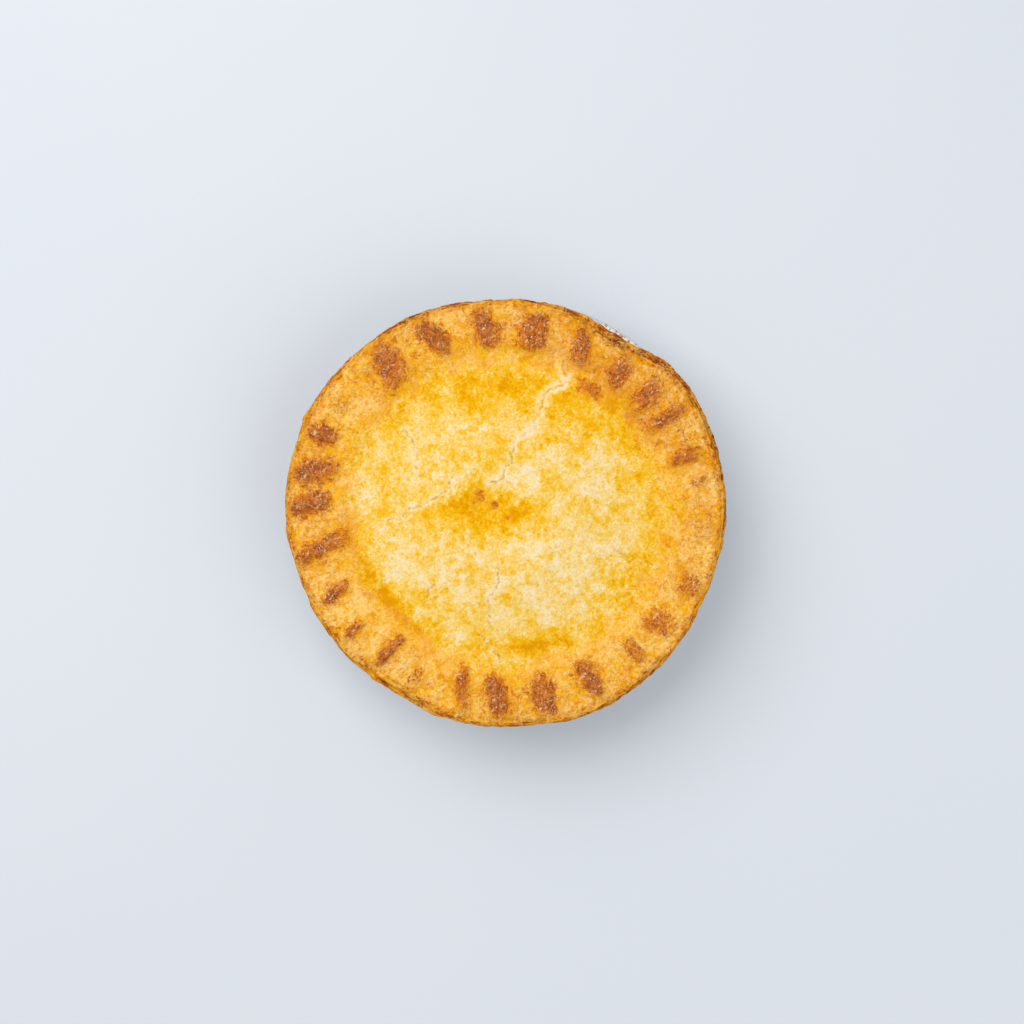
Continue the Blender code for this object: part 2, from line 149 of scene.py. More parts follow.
# Corners of the cracks, from the crust's middle, with depth and pale width.
MAIN_CRACK = (
    ((26.5, 69.6), (25.6, 64.6), (26.1, 58.3), (21.5, 56.0), (17.0, 53.7), (15.6, 47.4), (13.4, 39.2))
    + ((8.4, 35.6), (3.4, 31.5), (1.6, 26.5), (2.5, 22.0), (-1.1, 16.1), (-2.9, 14.3), (-9.3, 11.6))
)
CRACKS = (
    (MAIN_CRACK, 1.0, 2.4),
    (((-45.6, 41.5), (-41.9, 29.3), (-40.6, 23.8), (-37.9, 15.6)), 1.0, 1.4),
    (((-22.9, 18.4), (-25.6, 11.6), (-32.4, 6.1), (-41.9, 2.0), (-47.4, -2.5), (-55.6, -6.1)), 1.0, 1.3),
    (((-3.9, -23.8), (-3.4, -29.3), (-7.5, -37.4), (-7.9, -46.9), (-7.5, -52.4)), 1.1, 1.5),
    (((-13.4, -55.1), (-7.9, -60.5), (-3.9, -64.6), (-3.4, -70.1)), 1.0, 1.0),
    (((-17.0, -7.5), (-17.0, -14.3), (-12.0, -22.4)), 0.7, 1.4),
    (((47.8, -14.3), (56.0, -22.4), (69.6, -25.2)), 1.0, 0.9),
    (((-59.6, -35.1), (-56.9, -31.1), (-52.8, -28.3), (-47.4, -27.4)), 1.1, 1.2),
    (((-38.3, -42.9), (-35.6, -35.1), (-29.7, -32.4)), 1.1, 1.1),
    (((75.1, 41.5), (76.0, 38.3), (78.7, 37.0), (81.0, 34.7), (82.3, 32.0)), 1.7, 0.4),
    (((-35.1, 67.3), (-36.1, 59.2)), 0.8, 0.8),
    (((2.5, 22.0), (7.9, 20.2), (15.2, 19.3)), 0.25, 1.6),
    (((2.5, 3.9), (7.0, 8.0), (11.6, 12.5)), 0.2, 1.4),
)
# How often a crack's stretches are halved, and the shortest that still is.
CRACK_HALVINGS = 4
SHORTEST_HALVED = 0.9
# How far off a crack still shows.
CRACK_REACH = 7.0
# Short tears in the rim: how many, how long, how far out they start, depth and pale width.
TEAR_COUNT = 34
TEAR_LENGTH = (2.5, 6.5)
TEAR_REACH = (70.0, 92.0)
TEAR_DEPTH = (0.7, 1.4)
TEAR_PALE = 0.35
# Steam vents: place and radius.
VENTS = ((-12.2, 8.2, 2.0), (-5.7, 3.4, 1.5), (0.7, -2.5, 0.8))

# The tin's pleats: how many, their depth, and how far off even spacing they are.
PLEAT_COUNT = 36
PLEAT_DEPTH = 0.7
PLEAT_SHAKE = 0.8
# Crumbs on the tin's bead: direction in degrees and radius.
CRUMBS = ((62.1, 0.75), (60.6, 0.4), (58.8, 0.65), (57.1, 0.8), (56.0, 0.4), (54.5, 0.55), (52.4, 0.35))

# How brightly a white surface that faces up shows, by which screen colours are divided.
LIGHT = 1.175
# Tone of the dome, as the blue in its screen colour: deep yellow is low, pale cream is high.
DOME_TONE = 129.0
VALLEY_TONE = 78.0
RIM_TONE = 58.0
CRACK_TONE = 188.0
# The tone is stored as its place on the dome's ramp of colours, which covers this range.
WASH_RANGE = 260.0
WASH_START = 60.0 / WASH_RANGE
DOME_COLOURS = (
    (0.0, (228, 152, 0)),
    (0.115, (235, 163, 0)),
    (0.231, (241, 174, 2)),
    (0.308, (244, 180, 12)),
    (0.442, (245, 190, 46)),
    (0.577, (247, 201, 86)),
    (0.665, (248, 208, 112)),
    (0.758, (248, 214, 136)),
    (0.835, (248, 219, 154)),
    (0.912, (249, 224, 171)),
    (1.0, (249, 228, 184)),
)
# Browning of the crimps' crests, from their amber border to their middle.
CREST_COLOURS = (
    (0.0, (247, 186, 50)),
    (0.22, (241, 165, 16)),
    (0.42, (231, 143, 10)),
    (0.62, (213, 119, 12)),
    (0.82, (193, 98, 16)),
    (1.0, (166, 78, 18)),
)
# Toasting of the rim, from pale gold at 0 to dark brown at 1, dry and glazed.
RIM_COLOURS = (
    (0.0, (256, 213, 138), (254, 200, 80)),
    (0.09, (253, 199, 98), (251, 187, 40)),
    (0.17, (249, 184, 70), (247, 174, 20)),
    (0.29, (241, 165, 46), (239, 156, 10)),
    (0.435, (226, 141, 34), (224, 132, 8)),
    (0.575, (205, 116, 28), (203, 107, 8)),
    (0.74, (176, 88, 22), (170, 79, 8)),
    (1.0, (122, 56, 22), (114, 49, 8)),
)
# Colours of single marks: splits between the edge's layers, also laid on the painted shade of the edge's
# crevice and lip; cracks; painted light on the edge; pale flakes, partly painted highlight; and painted
# glints.
SPLIT_COLOUR = (124, 64, 14)
CRACK_COLOUR = (196, 136, 14)
LIT_EDGE_COLOUR = (246, 186, 74)
PALE_COLOUR = (255, 216, 134)
GLINT_COLOUR = (255, 226, 176)

# Browning of the soft amber surround of each crest, as a share of the crest's own.
AMBER_SHARE = 0.46
# Toasting of the rim between the crimps, of the hidden parts, and of the edge at the least.
PAD_TOAST = 0.1
HIDDEN_TOAST = 0.42
LEAST_EDGE_TOAST = 0.2
# Toasting of the rim and of the base crust's edge, more or less than elsewhere, in some directions.
RIM_TOAST = ((45, 38, 0.10), (110, 20, 0.02), (178, 26, 0.05), (270, 26, 0.02))
EDGE_TOAST = ((46, 44, 0.26), (120, 26, 0.16), (238, 26, -0.12), (308, 34, 0.08))
# Toasting, darkness and share of the base crust's tone on each row of the edge, going up; the darkness is
# painted shade along the lower lip and in the crevice under the lid.
EDGE_TONES = (
    (0.36, 0.15, 1.0),
    (0.36, 0.10, 1.0),
    (0.35, 0.05, 1.0),
    (0.34, 0.0, 1.0),
    (0.37, 0.08, 1.0),
    (0.48, 0.42, 0.6),
    (0.46, 0.34, 0.3),
    (0.34, 0.08, 0.2),
    (0.27, 0.0, 0.1),
    (0.21, 0.0, 0.0),
)
# Painted contact shadow on the base crust's lower lip where it meets the bare stretch of the tin's bead.
LIP_PAINTED_SHADOW = ((57, 7, 0.9),)
# Where the painted shade in the crevice under the lid is less dark, as a share taken off.
CREVICE_LESS_SHADE = ((238, 28, 0.7), (180, 24, 0.4))
CRACK_DARKNESS = 0.66
FLAKE_DARKNESS = 0.22
# What the crust's material knows of each point, and how its colour attributes hold it.
TONES = ("wash", "toast", "rim", "dark", "crest", "grain", "edge", "halo")
ATTRIBUTES = {"tones": TONES[:3], "dark_crest_grain": TONES[3:6], "borders": TONES[6:]}
# The tones of the hidden parts, and those that are the same all over the edge.
HIDDEN_TONES = {"wash": 0.4, "toast": HIDDEN_TOAST, "rim": 1.0, "grain": 0.5}
PLAIN_EDGE_TONES = {"wash": 0.35, "rim": 1.0, "grain": 0.9, "edge": 1.0}

# Where egg wash pooled (below zero) or is thin: place, half length, half width, turn and change.
WASH = (
    (-13, 0, 19, 9, -4, -120), (8, 2, 10, 6, 14, -38),
    (-8, 17, 9, 8, 60, -56), (-38, 8, 15, 7, 10, -26),
    (4, 57, 42, 14, 0, -44), (10, 40, 27, 17, 0, -30),
    (25, 43, 8, 13, 0, -28), (-10, 50, 14, 8, 0, -20),
    (2, 62, 10, 7, 0, -24), (15, 52, 5, 8, -20, 40),
    (47, 50, 19, 9, -42, -34), (59, 33, 8, 12, 0, -32),
    (-50, 36, 7, 7, 0, -20), (-37, 62, 14, 7, 30, -10),
    (-36, 29, 9, 9, 0, 14), (-64, 8, 8, 15, 0, 46),
    (-60, 36, 8, 6, 0, 14), (-58, -8, 8, 6, 0, 32),
    (-48, -28, 9, 9, 0, 24), (30, -20, 24, 14, 0, 20),
    (20, -47, 18, 8, 0, 32), (-14, -54, 10, 6, 0, 36),
    (56, 6, 4, 9, 0, 24), (50, 38, 5, 7, 0, 22),
    (-70, -15, 9, 3.6, -75, -90), (-60, -33, 9, 4.0, -65, -86),
    (-49, -46, 9, 4.2, -50, -90), (-38, -58, 9, 4, -25, -66),
    (9, -61, 17, 3.4, 6, -110), (57, -35, 14, 8, 60, -50),
    (66, 8, 22, 3.6, 90, -44),
)
# Patches of the rim that baked darker or stayed light, given the same way.
TOASTED = (
    (61, 40, 11, 6.0, -58, 0.18), (30, 70, 13, 5, -22, 0.14),
    (52, 57, 22, 8, -46, 0.15), (-50, 58, 9, 6, -40, 0.12),
    (76, -30, 9, 7, 60, 0.10), (86, -4, 6, 9, 90, 0.10),
    (-86, 2, 4, 12, 0, 0.10), (-66, -21, 14, 3.6, -70, 0.1),
    (-49, -47, 14, 4.0, -48, 0.1), (-40, 76, 7, 5, 30, -0.05),
    (-74, 46, 9, 6, 55, -0.06), (-70, -50, 9, 6, -50, -0.05),
    (72, -56, 10, 6, 50, -0.04),
)
# Patches browned like the crimps, given the same way.
SCORCHED = ((38, 56, 6.5, 3.4, -30, 0.85), (-12.5, 5.5, 4.5, 2.0, 65, 0.5), (61, 40, 7, 3.0, -60, 0.35))

# Noise in the crust's material: size in millimetres, detail, roughness, distortion and seed.
PATTERNS = {
    "mottle": (10.0, 3.0, 0.75, 0.2),
    "glazed": (8.0, 2.0, 0.65, 0.4, 3.7),
    "crumb": (3.6, 2.0, 0.7, 0.5),
    "fine": (1.5, 2.0, 0.8, 0.3, 1.3),
    "speck": (1.05, 1.0, 0.5, 0.0, 8.1),
    "pool": (12.0, 4.0, 0.62, 0.3, 21.7),
    "blot": (5.2, 3.0, 0.6, 0.4, 15.1),
    "sand": (0.62, 0.0, 0.5, 0.0, 17.6),
    # Small spots for painted glints.
    "glint_spots": (0.8, 0.0, 0.5, 0.0, 5.2),
    "curl": (3.0, 1.0, 0.5, 1.2, 11.3),
    "fold": (3.6, 1.0, 0.5, 1.2, 2.9),
    "wisp": (2.4, 1.0, 0.5, 1.4, 31.0),
}
CELL_SIZE = 3.4 * MM
# Size, reach and seed of the noise for painted light on bumps' sides that face -X and +Y, and painted shade
# on the sides turned away.
PAINTED_LIGHT_SIZE = 2.8 * MM
PAINTED_LIGHT_REACH = 0.3 * MM
PAINTED_LIGHT_SEED = 41.0
# Width of the streaks along the edge and of the fibres across it, and how many times longer they are.
STREAKS = (1.2 * MM, 7.0)
FIBRES = (1.3 * MM, 5.0)
RELIEF_HEIGHT = 0.4 * MM
# How much each pattern moves the dome's tone, the rim's toasting, its dryness and its inner border; the lit
# and shaded sides are painted light and shade, and the light flecks and lines are partly painted highlight.
DOME_WEIGHTS = {"mottle": 1.2, "crumb": 1.8, "fine": 1.4, "speck": 0.8, "fleck": 0.2, "stroke": -0.24}
DOME_WEIGHTS |= {"pit": -0.2, "pool": -0.28, "blot": -0.26, "sand": 0.2, "flake": 0.3, "wisp": 0.22}
DOME_WEIGHTS |= {"painted_lit_side": 0.26, "painted_shaded_side": -0.22}
RIM_WEIGHTS = {"crumb": 0.34, "fine": 0.32, "mottle": 0.5, "speck": -0.18, "stroke": 0.17, "fleck": -0.08}
RIM_WEIGHTS |= {"pit": 0.06, "pool": 0.06, "blot": 0.12, "sand": -0.1, "ring": 0.07, "painted_shaded_side": 0.15}
RIM_WEIGHTS |= {"edge_streak": 1.7, "rim_fibre": 0.25}
DRY_WEIGHTS = {"glazed": 4.5, "fine": 2.4, "blot": -0.6, "wash": 0.8, "halo": -0.4}
BORDER_WEIGHTS = {"mottle": 2.2, "glazed": 1.4, "fine": 0.5, "pool": 0.2}
# How much each pattern frays the browned crests, and how much each shows as a pale fleck, partly painted
# highlight.
RAGGED_WEIGHTS = {"fine": 1.0, "crumb": 1.6, "glazed": 1.4, "speck": -0.6, "stroke": 0.15}
RAGGED_WEIGHTS |= {"flake": -0.3, "fibre": 0.9, "painted_shaded_side": 0.22}
PALE_WEIGHTS = {"fleck": 0.16, "flake": 0.48, "wisp": 0.34, "bubble": 0.36}

# The camera and the lamps, in metres: how far off it is, its place, and the photo's pixels.
CAMERA_DISTANCE = 1.1
CAMERA_PLACE = (1.89 * MM, -0.72 * MM, 42 * MM + CAMERA_DISTANCE)
SENSOR_WIDTH = 36.0
PHOTO_PIXELS = 1024
PIXEL_SIZE = 0.4535 * MM
# Lamps: place, side, power and colour, all facing this place.
LAMP_TARGET = Vector((0.0, 0.0, 0.03))
LAMPS = {
    "key": ((-0.7, 0.7, 1.3), 1.4, 18.8, (1.0, 0.99, 0.97)),
    "fill": ((0.9, -0.7, 1.3), 1.6, 9.0, (0.98, 0.99, 1.0)),
}
SKY_COLOUR = (0.96, 0.98, 1.0, 1.0)
SKY_STRENGTH = 0.6
GROUND_HALF = 3000.0


def smooth(low, high, value):
    """A smooth step from 0 at low to 1 at high."""
    share = np.clip((value - low) / (high - low), 0.0, 1.0)
    return share * share * (3.0 - 2.0 * share)


def bell(value):
    """1 at 0, falling smoothly to 0 on both sides."""
    return np.exp(-(value**2))


def turn(angle, middle):
    """The signed difference between two directions, in degrees."""
    return (np.asarray(angle) - middle + 180.0) % 360.0 - 180.0


def lobes(angle, rows):
    """The sum of rounded lobes, each with a direction, a half width and a size."""
    return sum(size * bell(turn(angle, middle) / half) for middle, half, size in rows)


def polar(x, y):
    """Radius, and direction in degrees, of places given from the crust's middle."""
    return np.hypot(x, y), np.degrees(np.arctan2(y, x))


def place_at(radius, angle):
    """The x and y of places at this radius in these directions, in degrees."""
    return radius * np.cos(np.radians(angle)), radius * np.sin(np.radians(angle))


def noise(x, y, size, seed, z=0.0):
    """Smooth random values from -1 to 1 that change over about this length."""
    table = np.random.default_rng(seed).uniform(-1.0, 1.0, (NOISE_CELLS,) * 3)
    axes = []
    for value in (x, y, z):
        scaled = np.asarray(value) / size + NOISE_SHIFT
        cell = np.floor(scaled).astype(int)
        share = smooth(0.0, 1.0, scaled - cell)
        axes.append(((cell % NOISE_CELLS, 1.0 - share), ((cell + 1) % NOISE_CELLS, share)))
    total = 0.0
    for (i, part_x), (j, part_y), (k, part_z) in itertools.product(*axes):
        total = total + part_x * part_y * part_z * table[i, j, k]
    return total


def layered(x, y, size, octaves, seed):
    """Several sizes of noise added up, each half the size and about half the strength of the last."""
    total, strength = 0.0, 1.0
    for octave in range(octaves):
        total = total + strength * noise(x, y, size / 2**octave, seed + octave)
        strength *= 0.55
    return total


def flakes(x, y, size, seed):
    """For flaky crust: each flake's own value, and 0 at its border rising to 1 inside."""
    table = np.random.default_rng(seed).uniform(0.0, 1.0, (NOISE_CELLS, NOISE_CELLS, 3))
    u, v = x / size + 1000.0, y / size + 1000.0
    cell_u, cell_v = np.floor(u).astype(int), np.floor(v).astype(int)
    nearest = np.full(np.shape(x), 9.0)
    second = nearest
    value = np.zeros(np.shape(x))
    for i, j in itertools.product((-1, 0, 1), repeat=2):
        drawn = table[(cell_u + i) % NOISE_CELLS, (cell_v + j) % NOISE_CELLS]
        away = np.hypot(cell_u + i + drawn[..., 0] - u, cell_v + j + drawn[..., 1] - v)
        closer = away < nearest
        second = np.where(closer, nearest, np.minimum(second, away))
        value = np.where(closer, drawn[..., 2], value)
        nearest = np.where(closer, away, nearest)
    return value, smooth(0.0, 0.22, second - nearest)


def outline(angle):
    """The crust's outer radius in each direction."""
    waves = (size * np.cos(order * np.radians(turn(angle, crest))) for order, size, crest in OUTLINE_WAVES)
    return CRUST_RADIUS + sum(waves) + lobes(angle, OUTLINE_LOBES)


def ledge(angle):
    """How far the base crust shows past the lid's edge in each direction."""
    return LEAST_LEDGE + lobes(angle, LEDGE_LOBES)


def lid_reach(angle):
    """The radius of the lid's own edge in each direction."""
    return outline(angle) - ledge(angle)


def droop(radius):
    """How far dough that hangs past the tin's bead sinks."""
    return DROOP_RATE * np.clip(radius - DROOP_START, 0.0, None) ** 2


def crimp_place(radius, angle, crimp):
    """Distance across one crimp, its half width, and how far along it each place is."""
    middle, breadth, lean, inner, outer = crimp[:5]
    along = (radius - inner) / (outer - inner)
    aside = np.radians(turn(angle, middle + lean * (along - 0.5))) * radius
    half = np.radians(0.62 * breadth) * 0.5 * (inner + outer)
    return aside, half, along


def crimps(radius, angle):
    """Height of the crimps, and how much of each place they cover."""
    height = np.zeros_like(radius)
    cover = np.zeros_like(radius)
    for crimp in CRIMPS:
        inner, outer, share = crimp[3:6]
        aside, half, _ = crimp_place(radius, angle, crimp)
        ends = smooth(inner - 0.5 * CRIMP_END, inner + 0.5 * CRIMP_END, radius)
        ends = ends * (1.0 - smooth(outer - 0.5 * CRIMP_END, outer + 0.5 * CRIMP_END, radius))
        bump = ends * np.clip(1.0 - (aside / half) ** 2, 0.0, None) ** 1.5
        height = np.maximum(height, CRIMP_HEIGHT * share * bump)
        cover = np.maximum(cover, ends * bell(aside / (1.3 * half)))
    return height, cover


def crimp_browning(x, y):
    """How browned each place is by a crimp's crest, and by the glow of its surroundings."""
    radius, angle = polar(x, y)
    ragged = 0.3 * layered(x, y, 4.5, 4, 41)
    crest = np.zeros_like(radius)
    halo = np.zeros_like(radius)
    for crimp in CRIMPS:
        aside, half, along = crimp_place(radius, angle, crimp)
        far = np.abs(aside / half) ** 2.0 + 0.9 * np.abs(2.0 * along - 1.0) ** 3.0
        wide = np.hypot(aside / (2.0 * half), 1.5 * along - 0.75)
        amber = AMBER_SHARE * (1.0 - smooth(0.45, 1.15, wide + 0.8 * ragged))
        core = np.clip(1.1 - 0.62 * (far + ragged), 0.0, 1.0)
        crest = np.maximum(crest, crimp[6] * np.maximum(core, amber))
        halo = np.maximum(halo, crimp[6] * (1.0 - smooth(0.3, 1.25, wide + 0.5 * ragged)))
    return crest, halo


def blisters(x, y):
    """Soft, shallow bumps scattered over the lid."""
    draw = np.random.default_rng(SEED)
    total = np.zeros_like(x)
    for _ in range(BLISTER_COUNT):
        radius = 0.96 * RIM_OUTER * math.sqrt(draw.uniform())
        angle = draw.uniform(0.0, math.tau)
        size = draw.uniform(*BLISTER_RADIUS)
        height = draw.uniform(*BLISTER_HEIGHT) * draw.choice((-0.6, 1.0))
        away = np.hypot(x - radius * math.cos(angle), y - radius * math.sin(angle))
        total += height * bell(away / (0.6 * size))
    return total


def patches(x, y, rows):
    """Soft oval patches: place, half length, half width, turn in degrees and change."""
    x = x + 2.2 * layered(x, y, 9.0, 3, 141)
    y = y + 2.2 * layered(x, y, 9.0, 3, 151)
    total = np.zeros_like(x)
    for px, py, length, width, turned, change in rows:
        c, s = math.cos(math.radians(turned)), math.sin(math.radians(turned))
        u = ((x - px) * c + (y - py) * s) / length
        v = ((y - py) * c - (x - px) * s) / width
        total += change * np.exp(-0.9 * (u * u + v * v) ** 1.2)
    return total


def tears():
    """Corners of short tears scattered over the rim, most of them pointing outwards."""
    draw = np.random.default_rng(SEED + 7)
    rows = []
    for _ in range(TEAR_COUNT):
        angle = draw.uniform(0.0, math.tau)
        heading = angle + draw.normal(0.0, 0.6)
        place = draw.uniform(*TEAR_REACH) * np.array((math.cos(angle), math.sin(angle)))
        length = draw.uniform(*TEAR_LENGTH)
        corners = [place]
        for _ in range(3):
            heading += draw.normal(0.0, 0.35)
            place = place + length / 3.0 * np.array((math.cos(heading), math.sin(heading)))
            corners.append(place)
        rows.append((corners, draw.uniform(*TEAR_DEPTH), TEAR_PALE))
    return rows


def crack_lines():
    """Every crack as a fine jagged line, with its depth and pale width."""
    draw = np.random.default_rng(SEED)
    lines = []
    for corners, depth, pale in list(CRACKS) + tears():
        line = [np.array(corner, float) for corner in corners]
        for _ in range(CRACK_HALVINGS):
            finer = [line[0]]
            for start, end in zip(line, line[1:]):
                length = np.linalg.norm(end - start)
                if length > SHORTEST_HALVED:
                    normal = np.array((start[1] - end[1], end[0] - start[0])) / length
                    aside = draw.uniform(-0.2, 0.2) * length
                    finer.append(0.5 * (start + end) + normal * aside)
                finer.append(end)
            line = finer
        lines.append((np.array(line), depth, pale))
    return lines


def along_line(line, x, y):
    """Distance from each place to a jagged line, and how far along the line it is nearest."""
    away = np.full(x.shape, np.inf)
    where = np.zeros_like(x)
    count = len(line) - 1
    for index in range(count):
        start, step = line[index], line[index + 1] - line[index]
        share = ((x - start[0]) * step[0] + (y - start[1]) * step[1]) / (step @ step)
        share = np.clip(share, 0.0, 1.0)
        gap = np.hypot(x - start[0] - share * step[0], y - start[1] - share * step[1])
        where = np.where(gap < away, (index + share) / count, where)
        away = np.minimum(away, gap)
    return away, where


def crack_fields(x, y, lines):
    """Depth of the cracks, and the pale and dark colouring along them, at each place."""
    groove, pale, dark = np.zeros_like(x), np.zeros_like(x), np.zeros_like(x)
    for line, depth, width in lines:
        low, high = line.min(axis=0) - CRACK_REACH, line.max(axis=0) + CRACK_REACH
        near = (x > low[0]) & (x < high[0]) & (y > low[1]) & (y < high[1])
        px, py = x[near], y[near]
        away, where = along_line(line, px, py)
        ends = np.clip(14.0 * where * (1.0 - where), 0.0, 1.0) ** 0.5
        broken = smooth(-0.4, 0.3, layered(px, py, 1.4, 2, 78))
        depth_here = depth * ends * (0.3 + 0.7 * broken)
        core = bell(away / 0.5)
        groove[near] += 0.21 * CRACK_DEPTH * depth_here * np.clip(1.0 - away / 0.8, 0.0, None)
        groove[near] -= 0.14 * depth * ends * bell((away - 1.4) / 0.8)
        reach = 0.95 * width * (1.0 + 0.6 * layered(px, py, 2.6, 2, 79))
        cream = ends * min(1.0, 0.3 + 0.35 * width) * (1.0 - 0.6 * core * depth_here)
        cream *= bell(away / reach) * (0.95 + 0.35 * layered(px, py, 1.7, 2, 80))
        pale[near] = np.maximum(pale[near], cream)
        dark[near] = np.maximum(dark[near], np.minimum(depth_here, 1.3) * core)
    return groove, pale, dark


def lid_height(x, y):
    """Height of the lid's surface at places given from the crust's middle, cracks left out."""
    radius, angle = polar(x, y)
    dome = DOME_HEIGHT - (DOME_HEIGHT - VALLEY_HEIGHT) * smooth(DOME_FLAT, VALLEY_RADIUS, radius)
    rise = (RIM_HEIGHT - VALLEY_HEIGHT) * smooth(VALLEY_RADIUS, RIM_INNER, radius)
    height = dome + rise + blisters(x, y)
    ridge, cover = crimps(radius, angle)
    rim = smooth(VALLEY_RADIUS + 0.5 * CRIMP_END, RIM_INNER, radius)
    edge = lid_reach(angle)
    inside = 1.0 - smooth(edge - 6.0, edge - 1.5, radius)
    height += ridge * inside**0.5 - PRINT_DEPTH * rim * inside * (1.0 - cover)
    height -= SHOULDER_DROP * smooth(edge - 5.0, edge - 1.0, radius)
    for middle, out, half_length, half_width, size in SWELLINGS:
        aside = (radius - out) / half_width
        along = np.radians(turn(angle, middle)) * out / half_length
        height += size * bell(aside) * bell(along)
    dimple = [(v - m) / s for v, m, s in zip((x, y), DIMPLE_MIDDLE, DIMPLE_SPREAD)]
    return height - DIMPLE_DEPTH * bell(dimple[0]) * bell(dimple[1]) - droop(radius)


def lid_relief(x, y):
    """Fine relief of the baked surface, and the gaps between its flakes towards the edge."""
    radius = np.hypot(x, y)
    rim = smooth(68, 84, radius)
    height = (0.15 + 0.23 * rim) * layered(x, y, 4.6, 3, 21)
    height += (0.08 + 0.12 * rim) * layered(x, y, 1.9, 2, 31)
    height += (0.14 + 0.36 * rim) * (np.abs(layered(x, y, 4.2, 2, 35)) - 0.3)
    warp = 0.9 * noise(x, y, 3, 5)
    value, inside = flakes(x + warp, y - warp, 3.1, 51)
    outer = smooth(82, 92, radius) * (0.55 + 0.45 * noise(x, y, 12, 52))
    height += outer * (0.34 * (value - 0.5) - 0.34 * (1.0 - inside))
    return height, outer * (1.0 - inside)


def raggedness(x, y):
    """How far flaky dough at the edge stands out or falls short."""
    bumps = layered(x, y, 2.6, 2, 68) * (0.7 + 0.6 * noise(x, y, 14.0, 67))
    return 0.42 * (layered(x, y, 6.0, 3, 64) + bumps)


def torn(turned):
    """How far the lid's own edge stands out or falls short where it lies free."""
    x, y = place_at(lid_reach(turned) - BORDER_INSET, turned)
    free = np.clip(ledge(turned) / 1.2, 0.0, 1.0)
    return 0.5 * raggedness(x, y) + 0.77 * free * layered(x, y, 2.8, 2, 72)


def jittered_grid(spacing, reach, draw):
    """Places on a slightly shaken triangular grid inside this radius."""
    count = int(reach / spacing) + 2
    rows = np.arange(-count, count + 1)
    right, up = np.meshgrid(rows, rows)
    x = (right + 0.5 * (up % 2)) * spacing
    y = up * spacing * math.sqrt(0.75)
    places = np.stack((x.ravel(), y.ravel()), axis=1)
    places = places[np.hypot(places[:, 0], places[:, 1]) < reach]
    return places + draw.uniform(-0.18, 0.18, places.shape) * spacing


def crack_places(line):
    """Places in five rows along one crack."""
    length = np.concatenate(([0.0], np.cumsum(np.linalg.norm(np.diff(line, axis=0), axis=1))))
    spots = np.linspace(0.0, length[-1], max(2, int(length[-1] / CRACK_SPACING)))
    middle = np.stack([np.interp(spots, length, line[:, axis]) for axis in (0, 1)], axis=1)
    along = np.gradient(middle, axis=0)
    along /= np.linalg.norm(along, axis=1)[:, None]
    normal = np.stack((-along[:, 1], along[:, 0]), axis=1)
    return [middle + side * normal for side in (0.0, -0.38, 0.38, -0.78, 0.78)]


def vent_places(px, py, size):
    """Places in rings about one steam vent."""
    rings = []
    for ring, count in ((0.0, 1), (0.5, 6), (0.85, 10), (1.1, 12)):
        turned = np.arange(count) * math.tau / count
        spots = np.stack((np.cos(turned), np.sin(turned)), axis=1) * ring * size
        rings.append(spots + (px, py))
    return rings


def lid_places(lines):
    """Places of the lid's points: rows along the cracks, rings at the vents, and a grid elsewhere."""
    rows = [row for line, _, _ in lines for row in crack_places(line)]
    rows += [ring for vent in VENTS for ring in vent_places(*vent)]
    special = np.concatenate(rows)
    grid = jittered_grid(LID_SPACING, CRUST_RADIUS + 4, np.random.default_rng(SEED + 1))
    radius, angle = polar(grid[:, 0], grid[:, 1])
    grid = grid[radius < lid_reach(angle) - 2.4 + torn(angle)]
    size = 0.36
    near = list(itertools.product((-1, 0, 1), repeat=2))
    taken = {(a + i, b + j) for a, b in np.floor(special / size) for i, j in near}
    free = [tuple(cell) not in taken for cell in np.floor(grid / size)]
    return np.concatenate((special, grid[np.array(free)]))


def corner_arc(radius, steps):
    """The rounded corner between the tin's floor and wall, for one radius about its centre."""
    rise = TIN_WALL_HEIGHT - TIN_CORNER_RADIUS * (1.0 - math.sin(TIN_WALL_LEAN))
    foot = TIN_WALL_RADIUS - rise * math.tan(TIN_WALL_LEAN)
    centre = foot - TIN_CORNER_RADIUS * math.cos(TIN_WALL_LEAN)
    turned = np.linspace(-0.5 * math.pi, -TIN_WALL_LEAN, steps)
    return [(centre + radius * math.cos(a), TIN_CORNER_RADIUS + radius * math.sin(a)) for a in turned]


def wander(angle, draw, size):
    """A slow wave round the edge."""
    waves = [np.cos(o * np.radians(angle) + draw.uniform(0.0, math.tau)) for o in WANDER_ORDERS]
    return size * np.mean(waves, axis=0)


def edge_rows(turned):
    """Radius and height of the crust's layered edge, from its underside up to the lid."""
    draw = np.random.default_rng(SEED)
    under = TIN_HEIGHT + GAP
    top = under + BASE_CRUST_THICKNESS
    seam = top + wander(turned, draw, SEAM_WANDER)
    lid = top + LID_EDGE_THICKNESS + wander(turned, draw, 0.6 * SEAM_WANDER)
    reach = ledge(turned)
    tucked = np.maximum(reach + 0.7, 1.2)
    over_bead = np.maximum(outline(turned) - BEAD_COVER, 2.6)
    rows = (
        (over_bead, under),
        (1.3, under),
        (0.3, under + 0.25 * BASE_CRUST_THICKNESS),
        (0.0, under + 0.55 * BASE_CRUST_THICKNESS),
        (0.35, seam - 0.15 * BASE_CRUST_THICKNESS),
        (tucked - 0.1, seam),
        (tucked - 0.6, seam + 0.3 * LID_EDGE_THICKNESS),
        (reach, 0.45 * seam + 0.55 * lid),
        (reach + 0.5, lid - 0.12 * LID_EDGE_THICKNESS),
    )
    return [(outline(turned) - inward, height + 0.0 * turned) for inward, height in rows]


def rounded(rows, steps):
    """Rows on a curve through the given ones, this many for each but the last."""
    rows = [np.array(row) for row in rows]
    ends = [2 * rows[0] - rows[1]] + rows + [2 * rows[-1] - rows[-2]]
    found = []
    for index in range(len(rows) - 1):
        a, b, c, d = ends[index : index + 4]
        for t in np.arange(steps) / steps:
            bend = 2 * a - 5 * b + 4 * c - d + t * (3 * (b - c) + d - a)
            found.append(b + 0.5 * t * (c - a + t * bend))
    return found


